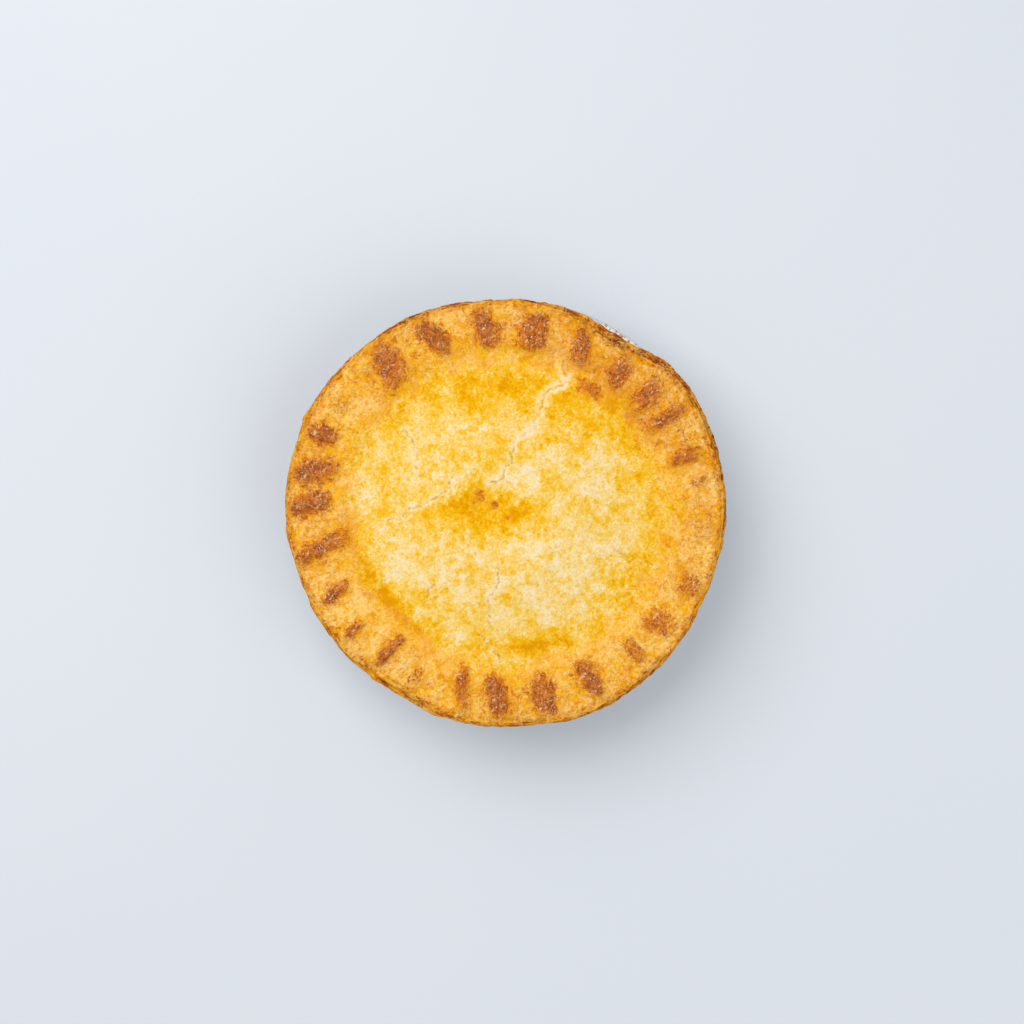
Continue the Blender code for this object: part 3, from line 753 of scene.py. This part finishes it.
def bands(first, sides, count):
    """Faces joining each ring of points to the next, the first ring being the lowest."""
    side = np.arange(sides)
    after = (side + 1) % sides
    faces = []
    for ring in range(count - 1):
        low = first + ring * sides
        high = low + sides
        faces.append(np.stack((low + side, low + after, high + after, high + side), axis=1))
    return [tuple(map(int, face)) for face in np.concatenate(faces)]


def ring_points(radius, height, turned, middle=(0.0, 0.0)):
    """One ring of points about this middle."""
    x, y = place_at(radius, turned)
    return np.stack((x + middle[0], y + middle[1], height + 0.0 * turned), axis=1)


def add_mesh(name, points, faces, material):
    """A new smooth object with this material, its points given in millimetres."""
    mesh = bpy.data.meshes.new(name)
    mesh.from_pydata((np.asarray(points) * MM).tolist(), [], faces)
    mesh.validate()
    mesh.shade_smooth()
    mesh.materials.append(material)
    made = bpy.data.objects.new(name, mesh)
    bpy.context.scene.collection.objects.link(made)
    return made


def add_colours(mesh, name, *values):
    """Up to three values for each point, kept as one colour attribute."""
    colours = np.ones((len(values[0]), 4), np.float32)
    colours[:, : len(values)] = np.clip(np.stack(values, axis=1), 0.0, 1.0)
    mesh.attributes.new(name, "FLOAT_COLOR", "POINT").data.foreach_set("color", colours.ravel())


def tone_rows(count, **given):
    """A row for each of the tones of this many points, 0 where one isn't given."""
    return np.stack([np.zeros(count) + given.get(name, 0.0) for name in TONES])


def crust_edge(turned, border_radius, border_height):
    """Rings of the layered edge: radius and height of every place, and its own tones."""
    rows = [(radius, height - droop(radius)) for radius, height in edge_rows(turned)]
    rings = rounded(rows + [(border_radius, border_height)], EDGE_STEPS)
    base = lobes(turned, EDGE_TOAST)
    steps = range(len(EDGE_TONES))
    found = []
    for index, (radius, height) in enumerate(rings):
        row = index / EDGE_STEPS
        toast, dark, of_base = (np.interp(row, steps, part) for part in zip(*EDGE_TONES))
        x, y = place_at(radius, turned)
        shown = min(1.0, 0.6 * row) * min(1.0, 0.5 * (len(rows) - row))
        leaf = noise(0.4 * x, 0.4 * y, 2.6, 61, 3.4 * height)
        leaf = leaf + 0.5 * noise(0.8 * x, 0.8 * y, 1.6, 62, 5.0 * height)
        layer = noise(0.3 * x, 0.3 * y, 2.0, 69, 1.5 * index)
        layer = layer + 0.6 * noise(x, y, 2.0, 70, 1.5 * index)
        lid_share = smooth(5.0, 7.0, row)
        ragged = (1.0 - lid_share) * raggedness(x, y) + lid_share * torn(turned)
        radius = radius + min(1.0, 0.6 * row) * ragged + 0.30 * shown * leaf
        height = height + shown * (0.14 * noise(x, y, 2.0, 63, height) + 0.30 * layer)
        # The edge's darkness is painted shade in the crevice under the lid and along the lower lip, broken
        # up by its leaves.
        dark = dark * np.clip(0.7 - 0.6 * leaf + noise(x, y, 3.0, 71), 0.0, 1.3)
        dark = dark * (1.0 - lobes(turned, CREVICE_LESS_SHADE))
        # Painted contact shadow on the lower lip by the bare stretch of the tin's bead.
        dark = dark + (1.0 - smooth(2.4, 3.6, row)) * lobes(turned, LIP_PAINTED_SHADOW)
        crest, _ = crimp_browning(*place_at(radius, turned))
        toast = toast + of_base * base - 0.12 * leaf - (0.24 + 0.2 * lid_share) * layer
        crevice = smooth(4.0, 4.8, row) * (1.0 - smooth(6.2, 7.2, row))
        toast = np.maximum(toast, 0.24 - 0.1 * lid_share + 0.2 * crevice)
        own = {"toast": toast, "dark": dark, "crest": smooth(4.5, 7.0, row) * crest}
        found.append((radius, height, own))
    return found


def lid_tones(x, y, lines):
    """The tones of places on the lid."""
    radius, angle = polar(x, y)
    crest, halo = crimp_browning(x, y)
    _, gaps = lid_relief(x, y)
    _, pale, dark = crack_fields(x, y, lines)
    wash = DOME_TONE + (VALLEY_TONE - DOME_TONE) * smooth(44, 66, radius)
    wash += (RIM_TONE - VALLEY_TONE) * smooth(66, 84, radius)
    wash += 1.12 * patches(x, y, WASH) - 40.0 * halo
    wash += np.clip(1.1 * pale, 0.0, 1.0) * (CRACK_TONE - wash)
    past_edge = radius - lid_reach(angle)
    shoulder = smooth(-5.0, -1.5, past_edge)
    toast = PAD_TOAST + lobes(angle, RIM_TOAST) + patches(x, y, TOASTED) + 0.14 * shoulder
    toast += 0.10 * halo + 0.16 * gaps - 0.12 * pale
    rim = smooth(58, 84, radius)
    crest = np.maximum(crest, patches(x, y, SCORCHED))
    dark = np.maximum(CRACK_DARKNESS * dark, FLAKE_DARKNESS * gaps)
    for px, py, size in VENTS:
        away = np.hypot(x - px, y - py) / size + 0.5 * noise(x, y, 1.2, 66)
        crest = np.maximum(crest, 0.5 * (1.0 - smooth(0.4, 2.2, away)))
        dark = np.maximum(dark, 0.4 * (1.0 - smooth(0.2, 1.3, away)))
    grain = 0.5 + 0.3 * rim + 0.2 * np.clip(crest, 0.0, 1.0) + 0.2 * shoulder
    grain = grain * (1.0 - 0.25 * pale)
    edge = smooth(-4.5, 0.0, past_edge)
    values = (wash / WASH_RANGE + WASH_START, toast, rim, dark, crest, grain, edge, halo)
    return dict(zip(TONES, values))


def lid_mesh(border, lines):
    """Places of the lid's points, its faces, and which point each place of its border became."""
    flat = np.concatenate((np.stack(border, axis=1), lid_places(lines)))
    rim = [(side, (side + 1) % CRUST_SIDES) for side in range(CRUST_SIDES)]
    result = delaunay_2d_cdt([tuple(place) for place in flat], rim, [], 1, 1e-5)
    kept = [origins[0] for origins in result[3]]
    became = {origin: index for index, origin in enumerate(kept)}
    return flat[kept].T, result[2], [became[side] for side in range(CRUST_SIDES)]


def lid_surface(x, y, lines):
    """Height of the finished lid, with its relief, its cracks and the pits of its steam vents."""
    fine, _ = lid_relief(x, y)
    groove, _, _ = crack_fields(x, y, lines)
    height = lid_height(x, y) + fine - groove
    for px, py, size in VENTS:
        away = np.hypot(x - px, y - py) + 0.25 * noise(x, y, 0.9, 66)
        height -= 0.7 * (1.0 - smooth(0.2 * size, 1.1 * size, away))
        height += 0.3 * bell((away - 1.4 * size) / (0.6 * size))
    return height


def add_crust(material):
    """The whole pie: lid, layered edge and the hidden filling below."""
    lines = crack_lines()
    turned = np.arange(CRUST_SIDES) * 360.0 / CRUST_SIDES
    inner_wall = TIN_WALL_RADIUS - (TIN_GAUGE + GAP) / math.cos(TIN_WALL_LEAN)
    hidden = corner_arc(TIN_CORNER_RADIUS - TIN_GAUGE - GAP, 4)
    hidden += [(inner_wall, TIN_WALL_HEIGHT + GAP), (TIN_WALL_RADIUS + 0.4, TIN_HEIGHT + GAP)]
    points = [np.array(((0.0, 0.0, hidden[0][1]),))]
    points += [ring_points(radius, height, turned) for radius, height in hidden]
    tones = [tone_rows(1 + len(hidden) * CRUST_SIDES, **HIDDEN_TONES)]

    border_radius = lid_reach(turned) - BORDER_INSET + torn(turned)
    border = place_at(border_radius, turned)
    fine, _ = lid_relief(*border)
    rings = crust_edge(turned, border_radius, lid_height(*border) + fine)
    for radius, height, own in rings:
        points.append(ring_points(radius, height, turned, CRUST_MIDDLE))
        tones.append(tone_rows(CRUST_SIDES, **PLAIN_EDGE_TONES, **own))

    (x, y), lid_faces, became = lid_mesh(border, lines)
    start = sum(len(rows) for rows in points)
    last = start - CRUST_SIDES
    places = (x + CRUST_MIDDLE[0], y + CRUST_MIDDLE[1], lid_surface(x, y, lines))
    points.append(np.stack(places, axis=1))
    tones.append(tone_rows(len(x), **lid_tones(x, y, lines)))
    faces = bands(1, CRUST_SIDES, len(hidden) + len(rings))
    for side in range(CRUST_SIDES):
        after = (side + 1) % CRUST_SIDES
        faces.append((0, 1 + after, 1 + side))
        faces.append((last + side, last + after, start + became[after], start + became[side]))
    faces += [tuple(start + corner for corner in face) for face in lid_faces]
    made = add_mesh("pie_crust", np.concatenate(points), faces, material)
    values = dict(zip(TONES, np.concatenate(tones, axis=1)))
    for name, held in ATTRIBUTES.items():
        add_colours(made.data, name, *(values[tone] for tone in held))
    return made


def tin_profile():
    """Radius and height round the tin's section from the floor up and back in, and its outer rows."""
    outer_corner = corner_arc(TIN_CORNER_RADIUS, 6)
    foot = outer_corner[-1]
    top = (TIN_WALL_RADIUS, TIN_WALL_HEIGHT)
    floor = [(radius, 0.0) for radius in np.linspace(20, foot[0] - 6.5, 6)]
    wall = [tuple(a + (b - a) * share for a, b in zip(foot, top)) for share in np.linspace(0.0, 1.0, 12)[1:]]
    flange = [(TIN_BEAD_REACH - 1.2 * TIN_BEAD_RADIUS, TIN_HEIGHT - TIN_GAUGE)]
    bead = []
    for angle in np.radians(np.linspace(-160.0, 90.0, 14)):
        height = TIN_HEIGHT - TIN_BEAD_RADIUS + TIN_BEAD_RADIUS * math.sin(angle)
        bead.append((TIN_BEAD_REACH + TIN_BEAD_RADIUS * math.cos(angle), height))
    inside = [
        (TIN_WALL_RADIUS + 0.6, TIN_HEIGHT),
        (TIN_WALL_RADIUS - TIN_GAUGE / math.cos(TIN_WALL_LEAN), TIN_WALL_HEIGHT + 0.2),
    ]
    outer = floor + outer_corner + wall
    return outer + flange + bead + inside + corner_arc(TIN_CORNER_RADIUS - TIN_GAUGE, 4)[::-1], len(outer)


def add_tin(material):
    """The foil tin: pleated wall, rolled bead and a flat floor."""
    draw = np.random.default_rng(SEED + 3)
    turned = np.arange(TIN_SIDES) * 360.0 / TIN_SIDES
    angle = np.radians(turned)
    profile, outer_rows = tin_profile()
    phase = draw.uniform(0.0, math.tau, 3)
    folds = np.sin(PLEAT_COUNT * angle + PLEAT_SHAKE * np.sin(5 * angle + phase[0]) + phase[1])
    pleats = 1.0 - bell(folds / 0.45) + 0.12 * np.sin(97 * angle + phase[2])
    # Painted shade in the grooves between the pleats.
    grooves = 1.0 - smooth(0.0, 0.5, pleats)
    points = [np.array(((0.0, 0.0, 0.0),))]
    shades = [np.zeros(1)]
    for index, (radius, height) in enumerate(profile):
        # Painted shade on the outer face of the rolled bead; the wall's rows take the pleats' grooves
        # instead.
        outermost = smooth(0.55, 0.9, (radius - TIN_BEAD_REACH) / TIN_BEAD_RADIUS)
        shade = 0.5 * outermost + 0.0 * turned
        if index < outer_rows:
            share = smooth(2.0, 9.0, height) * (1.0 - smooth(30, 35, height))
            crumple = noise(*place_at(radius, turned), 6.0, 91, height)
            radius = radius + share * (PLEAT_DEPTH * (pleats - 0.3) + 0.12 * crumple)
            shade = share * grooves
        points.append(ring_points(radius, height, turned))
        shades.append(shade)
    points.append(np.array(((0.0, 0.0, TIN_GAUGE),)))
    shades.append(np.zeros(1))
    faces = bands(1, TIN_SIDES, len(profile))
    last = 1 + (len(profile) - 1) * TIN_SIDES
    top = last + TIN_SIDES
    for side in range(TIN_SIDES):
        after = (side + 1) % TIN_SIDES
        faces.append((0, 1 + after, 1 + side))
        faces.append((top, last + side, last + after))
    made = add_mesh("tin_shell", np.concatenate(points), faces, material)
    add_colours(made.data, "shade", np.concatenate(shades))
    return made


def add_crumbs(material):
    """Small dough crumbs stuck on the tin's bead where it shows."""
    draw = np.random.default_rng(SEED + 5)
    points, faces = [], []
    for angle, size in CRUMBS:
        lump = bmesh.new()
        bmesh.ops.create_icosphere(lump, subdivisions=2, radius=1.0)
        reach = TIN_BEAD_REACH + draw.uniform(-0.2, 0.9)
        over = math.sqrt(TIN_BEAD_RADIUS**2 - (reach - TIN_BEAD_REACH) ** 2)
        height = TIN_HEIGHT - TIN_BEAD_RADIUS + over + 0.25 * size
        middle = Vector((*place_at(reach, angle), height))
        stretch = Vector(draw.uniform(0.7, 1.3, 3)) * size
        first = len(points)
        for vert in lump.verts:
            bump = 1.0 + 0.28 * math.sin(3.1 * vert.co.x + 5.0 * vert.co.y + 7.0 * size + angle)
            points.append(tuple(vert.co * bump * stretch + middle))
        faces += [tuple(first + vert.index for vert in face.verts) for face in lump.faces]
        lump.free()
    return add_mesh("bead_crumbs", points, faces, material)


def surface(red, green, blue):
    """The surface colour that shows as this screen colour, in 0 to 255, under the scene's light."""
    values = []
    for value in (red, green, blue):
        share = value / 255.0
        share = share / 12.92 if share <= 0.04045 else ((share + 0.055) / 1.055) ** 2.4
        values.append(share / LIGHT)
    return (*values, 1.0)


class Maker:
    """Short calls for building one material's node tree."""

    def __init__(self, name):
        self.material = bpy.data.materials.new(name)
        self.material.use_nodes = True
        self.tree = self.material.node_tree
        self.shader = self.tree.nodes["Principled BSDF"]

    def node(self, kind, **settings):
        made = self.tree.nodes.new(kind)
        for key, value in settings.items():
            setattr(made, key, value)
        return made

    def plug(self, value, socket):
        if isinstance(value, bpy.types.NodeSocket):
            self.tree.links.new(value, socket)
        else:
            socket.default_value = value

    def give(self, name, value):
        """Sets one of the shader's own inputs."""
        self.plug(value, self.shader.inputs[name])

    def attribute(self, name):
        found = self.node("ShaderNodeAttribute", attribute_name=name)
        return self.fed("ShaderNodeSeparateColor", (found.outputs["Color"],)).outputs

    def place(self):
        return self.node("ShaderNodeTexCoord").outputs["Object"]

    def fed(self, kind, values, **settings):
        """A node with these values on its first sockets."""
        made = self.node(kind, **settings)
        for value, socket in zip(values, made.inputs):
            self.plug(value, socket)
        return made

    def math(self, operation, *values):
        return self.fed("ShaderNodeMath", values, operation=operation).outputs[0]

    def vector(self, operation, *values):
        made = self.fed("ShaderNodeVectorMath", values, operation=operation)
        return made.outputs["Value" if operation == "LENGTH" else "Vector"]

    def spread(self, value, low, high, out_low=0.0, out_high=1.0):
        values = (value, low, high, out_low, out_high)
        return self.fed("ShaderNodeMapRange", values, clamp=True).outputs[0]

    def mix(self, share, a, b):
        made = self.node("ShaderNodeMix", data_type="RGBA", clamp_factor=True)
        self.plug(share, made.inputs[0])
        self.plug(a, made.inputs[6])
        self.plug(b, made.inputs[7])
        return made.outputs[2]

    def centred(self, value):
        return self.math("SUBTRACT", value, 0.5)

    def times(self, first, *others):
        """The product of values."""
        for other in others:
            first = self.math("MULTIPLY", first, other)
        return first

    def total(self, *parts):
        """The sum of values, some of them given with a weight."""
        found = None
        for part in parts:
            value = self.times(*part) if isinstance(part, tuple) else part
            found = value if found is None else self.math("ADD", found, value)
        return found

    def weighed(self, patterns, weights):
        """The sum of the patterns named here, each with its weight."""
        return self.total(*((patterns[name], weight) for name, weight in weights.items()))

    def noise(self, size, detail=3.0, roughness=0.55, distortion=0.0, seed=None, place=None):
        made = self.node("ShaderNodeTexNoise", noise_dimensions="3D" if seed is None else "4D")
        values = {"Scale": 1.0 / size, "Detail": detail, "Roughness": roughness, "Distortion": distortion}
        values["Vector"] = self.place() if place is None else place
        if seed is not None:
            values["W"] = seed
        for name, value in values.items():
            self.plug(value, made.inputs[name])
        return made.outputs["Fac"]

    def painted_light_slopes(self, size, shift, seed):
        """Above 0 where noise rises towards +X and -Y, below 0 where it falls: the sides that face -X and
        +Y, for painted light, and those turned away, for painted shade.
        """
        ahead = self.vector("ADD", self.place(), (shift, -shift, 0.0))
        behind = self.vector("ADD", self.place(), (-shift, shift, 0.0))
        ahead, behind = (self.noise(size, 2.0, 0.6, 0.6, seed, place) for place in (ahead, behind))
        return self.math("SUBTRACT", ahead, behind)

    def cells(self, size):
        """Distance to the nearest of many scattered places, in this size."""
        made = self.fed("ShaderNodeTexVoronoi", (self.place(),))
        made.inputs["Scale"].default_value = 1.0 / size
        return made.outputs["Distance"]

    def lines(self, value, width):
        """1 along the thin curves where a centred noise crosses 0, falling to 0 this far off."""
        return self.spread(self.math("ABSOLUTE", value), 0.4 * width, width, 1.0, 0.0)

    def streaks(self, size, along):
        """Noise drawn out along circles about the middle, so many times longer than wide."""
        place = self.place()
        far = self.vector("LENGTH", self.vector("MULTIPLY", place, (1.0, 1.0, 0.0)))
        slow = self.vector("MULTIPLY", place, (1.0 / along, 1.0 / along, 1.0))
        return self.centred(self.noise(size, 2.0, 0.6, 0.0, far, slow))

    def fibres(self, size, along):
        """Noise drawn out away from the middle, so many times longer than wide at the rim."""
        flat = self.vector("MULTIPLY", self.place(), (1.0, 1.0, 0.0))
        reach = RIM_OUTER * MM
        far = self.times(self.vector("LENGTH", flat), 1.0 / (reach * along))
        heading = self.vector("NORMALIZE", flat)
        return self.centred(self.noise(size / reach, 1.0, 0.6, 0.0, far, heading))

    def bump(self, height, distance, strength=1.0):
        made = self.node("ShaderNodeBump")
        made.inputs["Distance"].default_value = distance
        made.inputs["Strength"].default_value = strength
        self.plug(height, made.inputs["Height"])
        return made.outputs["Normal"]


def ramp(m, value, stops, kind=1):
    """A colour ramp with its stops at these places, in this column's colours."""
    made = m.fed("ShaderNodeValToRGB", (value,))
    points = made.color_ramp.elements
    for stop in stops[1:-1]:
        points.new(stop[0]).color = surface(*stop[kind])
    for point, stop in ((points[0], stops[0]), (points[-1], stops[-1])):
        point.position, point.color = stop[0], surface(*stop[kind])
    return made.outputs[0]


def crust_patterns(m):
    """The tones kept with the crust's points and every pattern of its baked surface, by name."""
    p = {name: m.centred(m.noise(size * MM, *rest)) for name, (size, *rest) in PATTERNS.items()}
    for attribute, held in ATTRIBUTES.items():
        p |= dict(zip(held, m.attribute(attribute)))
    # Light flecks, and the light flake and wisp lines below, are partly pale flake edges and partly painted
    # highlight.
    p["fleck"] = m.spread(p["speck"], 0.14, 0.22)
    p["pit"] = m.spread(p["speck"], -0.14, -0.22)
    p["pool"] = m.spread(p["pool"], -0.02, 0.06)
    p["blot"] = m.spread(p["blot"], 0.02, 0.10)
    # Painted glints, in clusters.
    p["glint_spots"] = m.times(m.spread(p["glint_spots"], 0.16, 0.26), m.spread(p["crumb"], -0.05, 0.08, 0.3, 1.0))
    p["stroke"] = m.times(m.lines(p["curl"], 0.075), m.spread(p["crumb"], 0.0, 0.05))
    p["flake"] = m.times(m.lines(p["fold"], 0.085), m.spread(p["glazed"], -0.06, 0.02))
    p["wisp"] = m.times(m.lines(p["wisp"], 0.1), m.spread(p["mottle"], 0.0, 0.08))
    nearest = m.cells(CELL_SIZE)
    p["bubble"] = m.times(m.spread(nearest, 0.18, 0.36, 1.0, 0.0), m.spread(p["blot"], 0.0, 1.0, 1.0, 0.35))
    p["ring"] = m.lines(m.math("SUBTRACT", nearest, 0.42), 0.06)
    # Painted light and shade: the sides of small bumps that face -X and +Y are lit, and those turned away
    # are shaded.
    lamp_facing = m.painted_light_slopes(PAINTED_LIGHT_SIZE, PAINTED_LIGHT_REACH, PAINTED_LIGHT_SEED)
    p["painted_lit_side"] = m.times(m.spread(lamp_facing, 0.08, 0.18), m.spread(p["glazed"], -0.12, 0.04, 0.25, 1.0))
    p["painted_shaded_side"] = m.spread(lamp_facing, -0.08, -0.2)
    p["streak"] = m.streaks(*STREAKS)
    p["fibre"] = m.fibres(*FIBRES)
    p["layer"] = m.times(m.lines(p["streak"], 0.05), m.spread(p["crumb"], -0.04, 0.04))
    p["edge_streak"] = m.times(p["streak"], p["edge"])
    p["rim_fibre"] = m.times(p["fibre"], p["rim"])
    return p


def crust_colour(m, p):
    """The pastry's colour, from its tones and patterns."""
    wash, toast, rim, dark, crest, grain, edge, halo = (p[name] for name in TONES)
    dome = ramp(m, m.total(m.times(m.weighed(p, DOME_WEIGHTS), grain), wash), DOME_COLOURS)
    baked = m.total(m.times(m.weighed(p, RIM_WEIGHTS), grain), toast)
    baked = m.math("MAXIMUM", baked, m.times(edge, LEAST_EDGE_TOAST))
    dry, glazed = ramp(m, baked, RIM_COLOURS, 1), ramp(m, baked, RIM_COLOURS, 2)
    pastry = m.mix(m.weighed(p, DRY_WEIGHTS), glazed, dry)
    border = m.times(m.weighed(p, BORDER_WEIGHTS), m.spread(rim, 0.02, 0.3))
    border = m.total(border, rim, (halo, 0.3))
    colour = m.mix(m.spread(border, 0.42, 0.74), dome, pastry)

    ragged = m.times(m.weighed(p, RAGGED_WEIGHTS), m.spread(crest, 0.0, 0.4))
    ragged = m.times(ragged, m.spread(crest, 0.45, 1.0, 1.0, 0.6))
    browned = m.total((crest, 0.92), (ragged, 0.85))
    colour = m.mix(m.spread(browned, 0.0, 0.34), colour, ramp(m, browned, CREST_COLOURS))
    splits = m.total((m.times(p["layer"], edge, edge), 0.6), (m.times(p["stroke"], crest), 0.5))
    colour = m.mix(splits, colour, surface(*SPLIT_COLOUR))
    # Dark marks of the cracks, flake gaps and vents, and on the edge the painted shade of its crevice and
    # lip.
    dots = m.times(dark, m.spread(p["speck"], -0.04, 0.06, 1.0, 0.4))
    colour = m.mix(dots, colour, m.mix(rim, surface(*CRACK_COLOUR), surface(*SPLIT_COLOUR)))
    # Painted light on the edge, from its light flake lines and the painted lit sides of bumps.
    lit = m.times(m.total((p["flake"], 0.5), (p["painted_lit_side"], 0.6)), edge, edge)
    colour = m.mix(lit, colour, surface(*LIT_EDGE_COLOUR))
    # Pale flecks, flake and wisp lines, partly painted highlight, and pale blister tops.
    pale = m.times(m.weighed(p, PALE_WEIGHTS), rim, m.spread(wash, 0.2, 0.5, 0.5, 1.0))
    pale = m.times(pale, m.spread(crest, 0.1, 0.6, 1.0, 0.3), m.spread(edge, 0.0, 1.0, 1.0, 0.2))
    colour = m.mix(pale, colour, surface(*PALE_COLOUR))
    # Painted glints: small spots and the painted lit sides of bumps, most on the crests and rim.
    glint = m.total((p["glint_spots"], 0.8), (p["painted_lit_side"], 0.7))
    glint = m.times(glint, m.total((crest, 0.42), (edge, -0.25), (rim, 0.46)))
    return m.mix(glint, colour, surface(*GLINT_COLOUR))


def crust_material():
    """Baked pastry: pale to deep yellow on the dome, golden brown on the rim."""
    m = Maker("baked_crust")
    p = crust_patterns(m)
    rim, crest, grain = p["rim"], p["crest"], p["grain"]
    m.give("Base Color", crust_colour(m, p))
    matt = m.spread(p["speck"], -0.2, 0.2, 0.6, 0.5)
    m.give("Roughness", m.math("SUBTRACT", matt, m.times(crest, 0.22)))
    m.give("Specular IOR Level", m.total((crest, 0.14), (grain, 0.04)))
    creases = m.total((m.math("ABSOLUTE", p["curl"]), 3.2), (m.math("ABSOLUTE", p["fold"]), -2.4))
    raised = m.times(m.total((p["bubble"], 0.5), (p["fibre"], 1.4)), rim)
    relief = m.total(creases, (p["fine"], 1.1), (p["speck"], 0.8), (p["sand"], 0.2), raised)
    m.give("Normal", m.bump(m.times(relief, grain, grain), RELIEF_HEIGHT))
    return m.material


def foil_material():
    """Thin rolled aluminium with faint rolling lines and soft creases, and painted shade on its bead's outer
    face and in its pleats' grooves.
    """
    m = Maker("tin_foil")
    rolled = m.noise(2.0 * MM, 2.0, 0.5, place=m.vector("MULTIPLY", m.place(), (0.06, 1.0, 1.0)))
    crease = m.noise(10.0 * MM, 3.0, 0.6, 0.3)
    # Painted shade on the bead's outer face and in the pleats' grooves, from the shade attribute.
    shade = m.attribute("shade")[0]
    colour = m.mix(m.spread(crease, 0.38, 0.62), surface(255, 255, 255), surface(232, 236, 241))
    m.give("Base Color", m.mix(m.times(shade, 0.75), colour, surface(128, 134, 142)))
    m.give("Metallic", 0.6)
    m.give("Roughness", m.spread(rolled, 0.3, 0.7, 0.3, 0.42))
    m.give("Normal", m.bump(crease, 0.4 * MM, 0.4))
    return m.material


def crumb_material():
    """Small toasted crumbs of the same dough."""
    m = Maker("toasted_crumb")
    grain = m.noise(0.7 * MM, 3.0, 0.6)
    m.give("Base Color", m.mix(grain, surface(240, 190, 100), surface(206, 134, 48)))
    m.give("Roughness", m.spread(grain, 0.3, 0.7, 0.5, 0.7))
    m.give("Normal", m.bump(grain, 0.15 * MM, 0.5))
    return m.material


def floor_material():
    """A plain pale ground with the faintest unevenness."""
    m = Maker("pale_ground")
    cloud = m.noise(300 * MM, 2.0, 0.5)
    m.give("Base Color", m.mix(cloud, surface(222, 227, 233), surface(218, 223, 230)))
    m.give("Roughness", m.spread(cloud, 0.3, 0.7, 0.6, 0.7))
    return m.material


def add_floor():
    """A wide flat ground that the tin stands on."""
    half = GROUND_HALF
    corners = [(-half, -half, 0.0), (half, -half, 0.0), (half, half, 0.0), (-half, half, 0.0)]
    return add_mesh("ground", corners, [(0, 1, 2, 3)], floor_material())


def add_light(name, place, size, power, colour):
    """A soft square lamp that faces the pie."""
    lamp = bpy.data.lights.new(name, "AREA")
    lamp.shape, lamp.size, lamp.energy, lamp.color = "SQUARE", size, power, colour
    made = bpy.data.objects.new(name, lamp)
    made.location = place
    made.rotation_euler = (LAMP_TARGET - made.location).to_track_quat("-Z", "Y").to_euler()
    bpy.context.scene.collection.objects.link(made)


def add_sky():
    """Plain pale light from all round."""
    world = bpy.data.worlds.new("studio")
    world.use_nodes = True
    sky = world.node_tree.nodes["Background"]
    sky.inputs["Color"].default_value = SKY_COLOUR
    sky.inputs["Strength"].default_value = SKY_STRENGTH
    bpy.context.scene.world = world


def add_camera():
    """Straight above, so that the whole picture is as wide as the photo's on the pie."""
    lens = bpy.data.cameras.new("overhead")
    lens.sensor_width = SENSOR_WIDTH
    lens.lens = SENSOR_WIDTH * CAMERA_DISTANCE / (PHOTO_PIXELS * PIXEL_SIZE)
    lens.clip_start, lens.clip_end = 0.01, 20.0
    made = bpy.data.objects.new("overhead", lens)
    made.location = CAMERA_PLACE
    bpy.context.scene.collection.objects.link(made)
    bpy.context.scene.camera = made


crust = add_crust(crust_material())
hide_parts("pie")
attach(crust, "root")

tin = add_tin(foil_material())
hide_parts("foil_tin")
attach(tin, "root")

crumbs = add_crumbs(crumb_material())
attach(crumbs, "root")

add_floor()
for lamp_name, lamp_values in LAMPS.items():
    add_light(lamp_name, *lamp_values)
add_sky()
bpy.context.scene.view_settings.view_transform = "Standard"
add_camera()
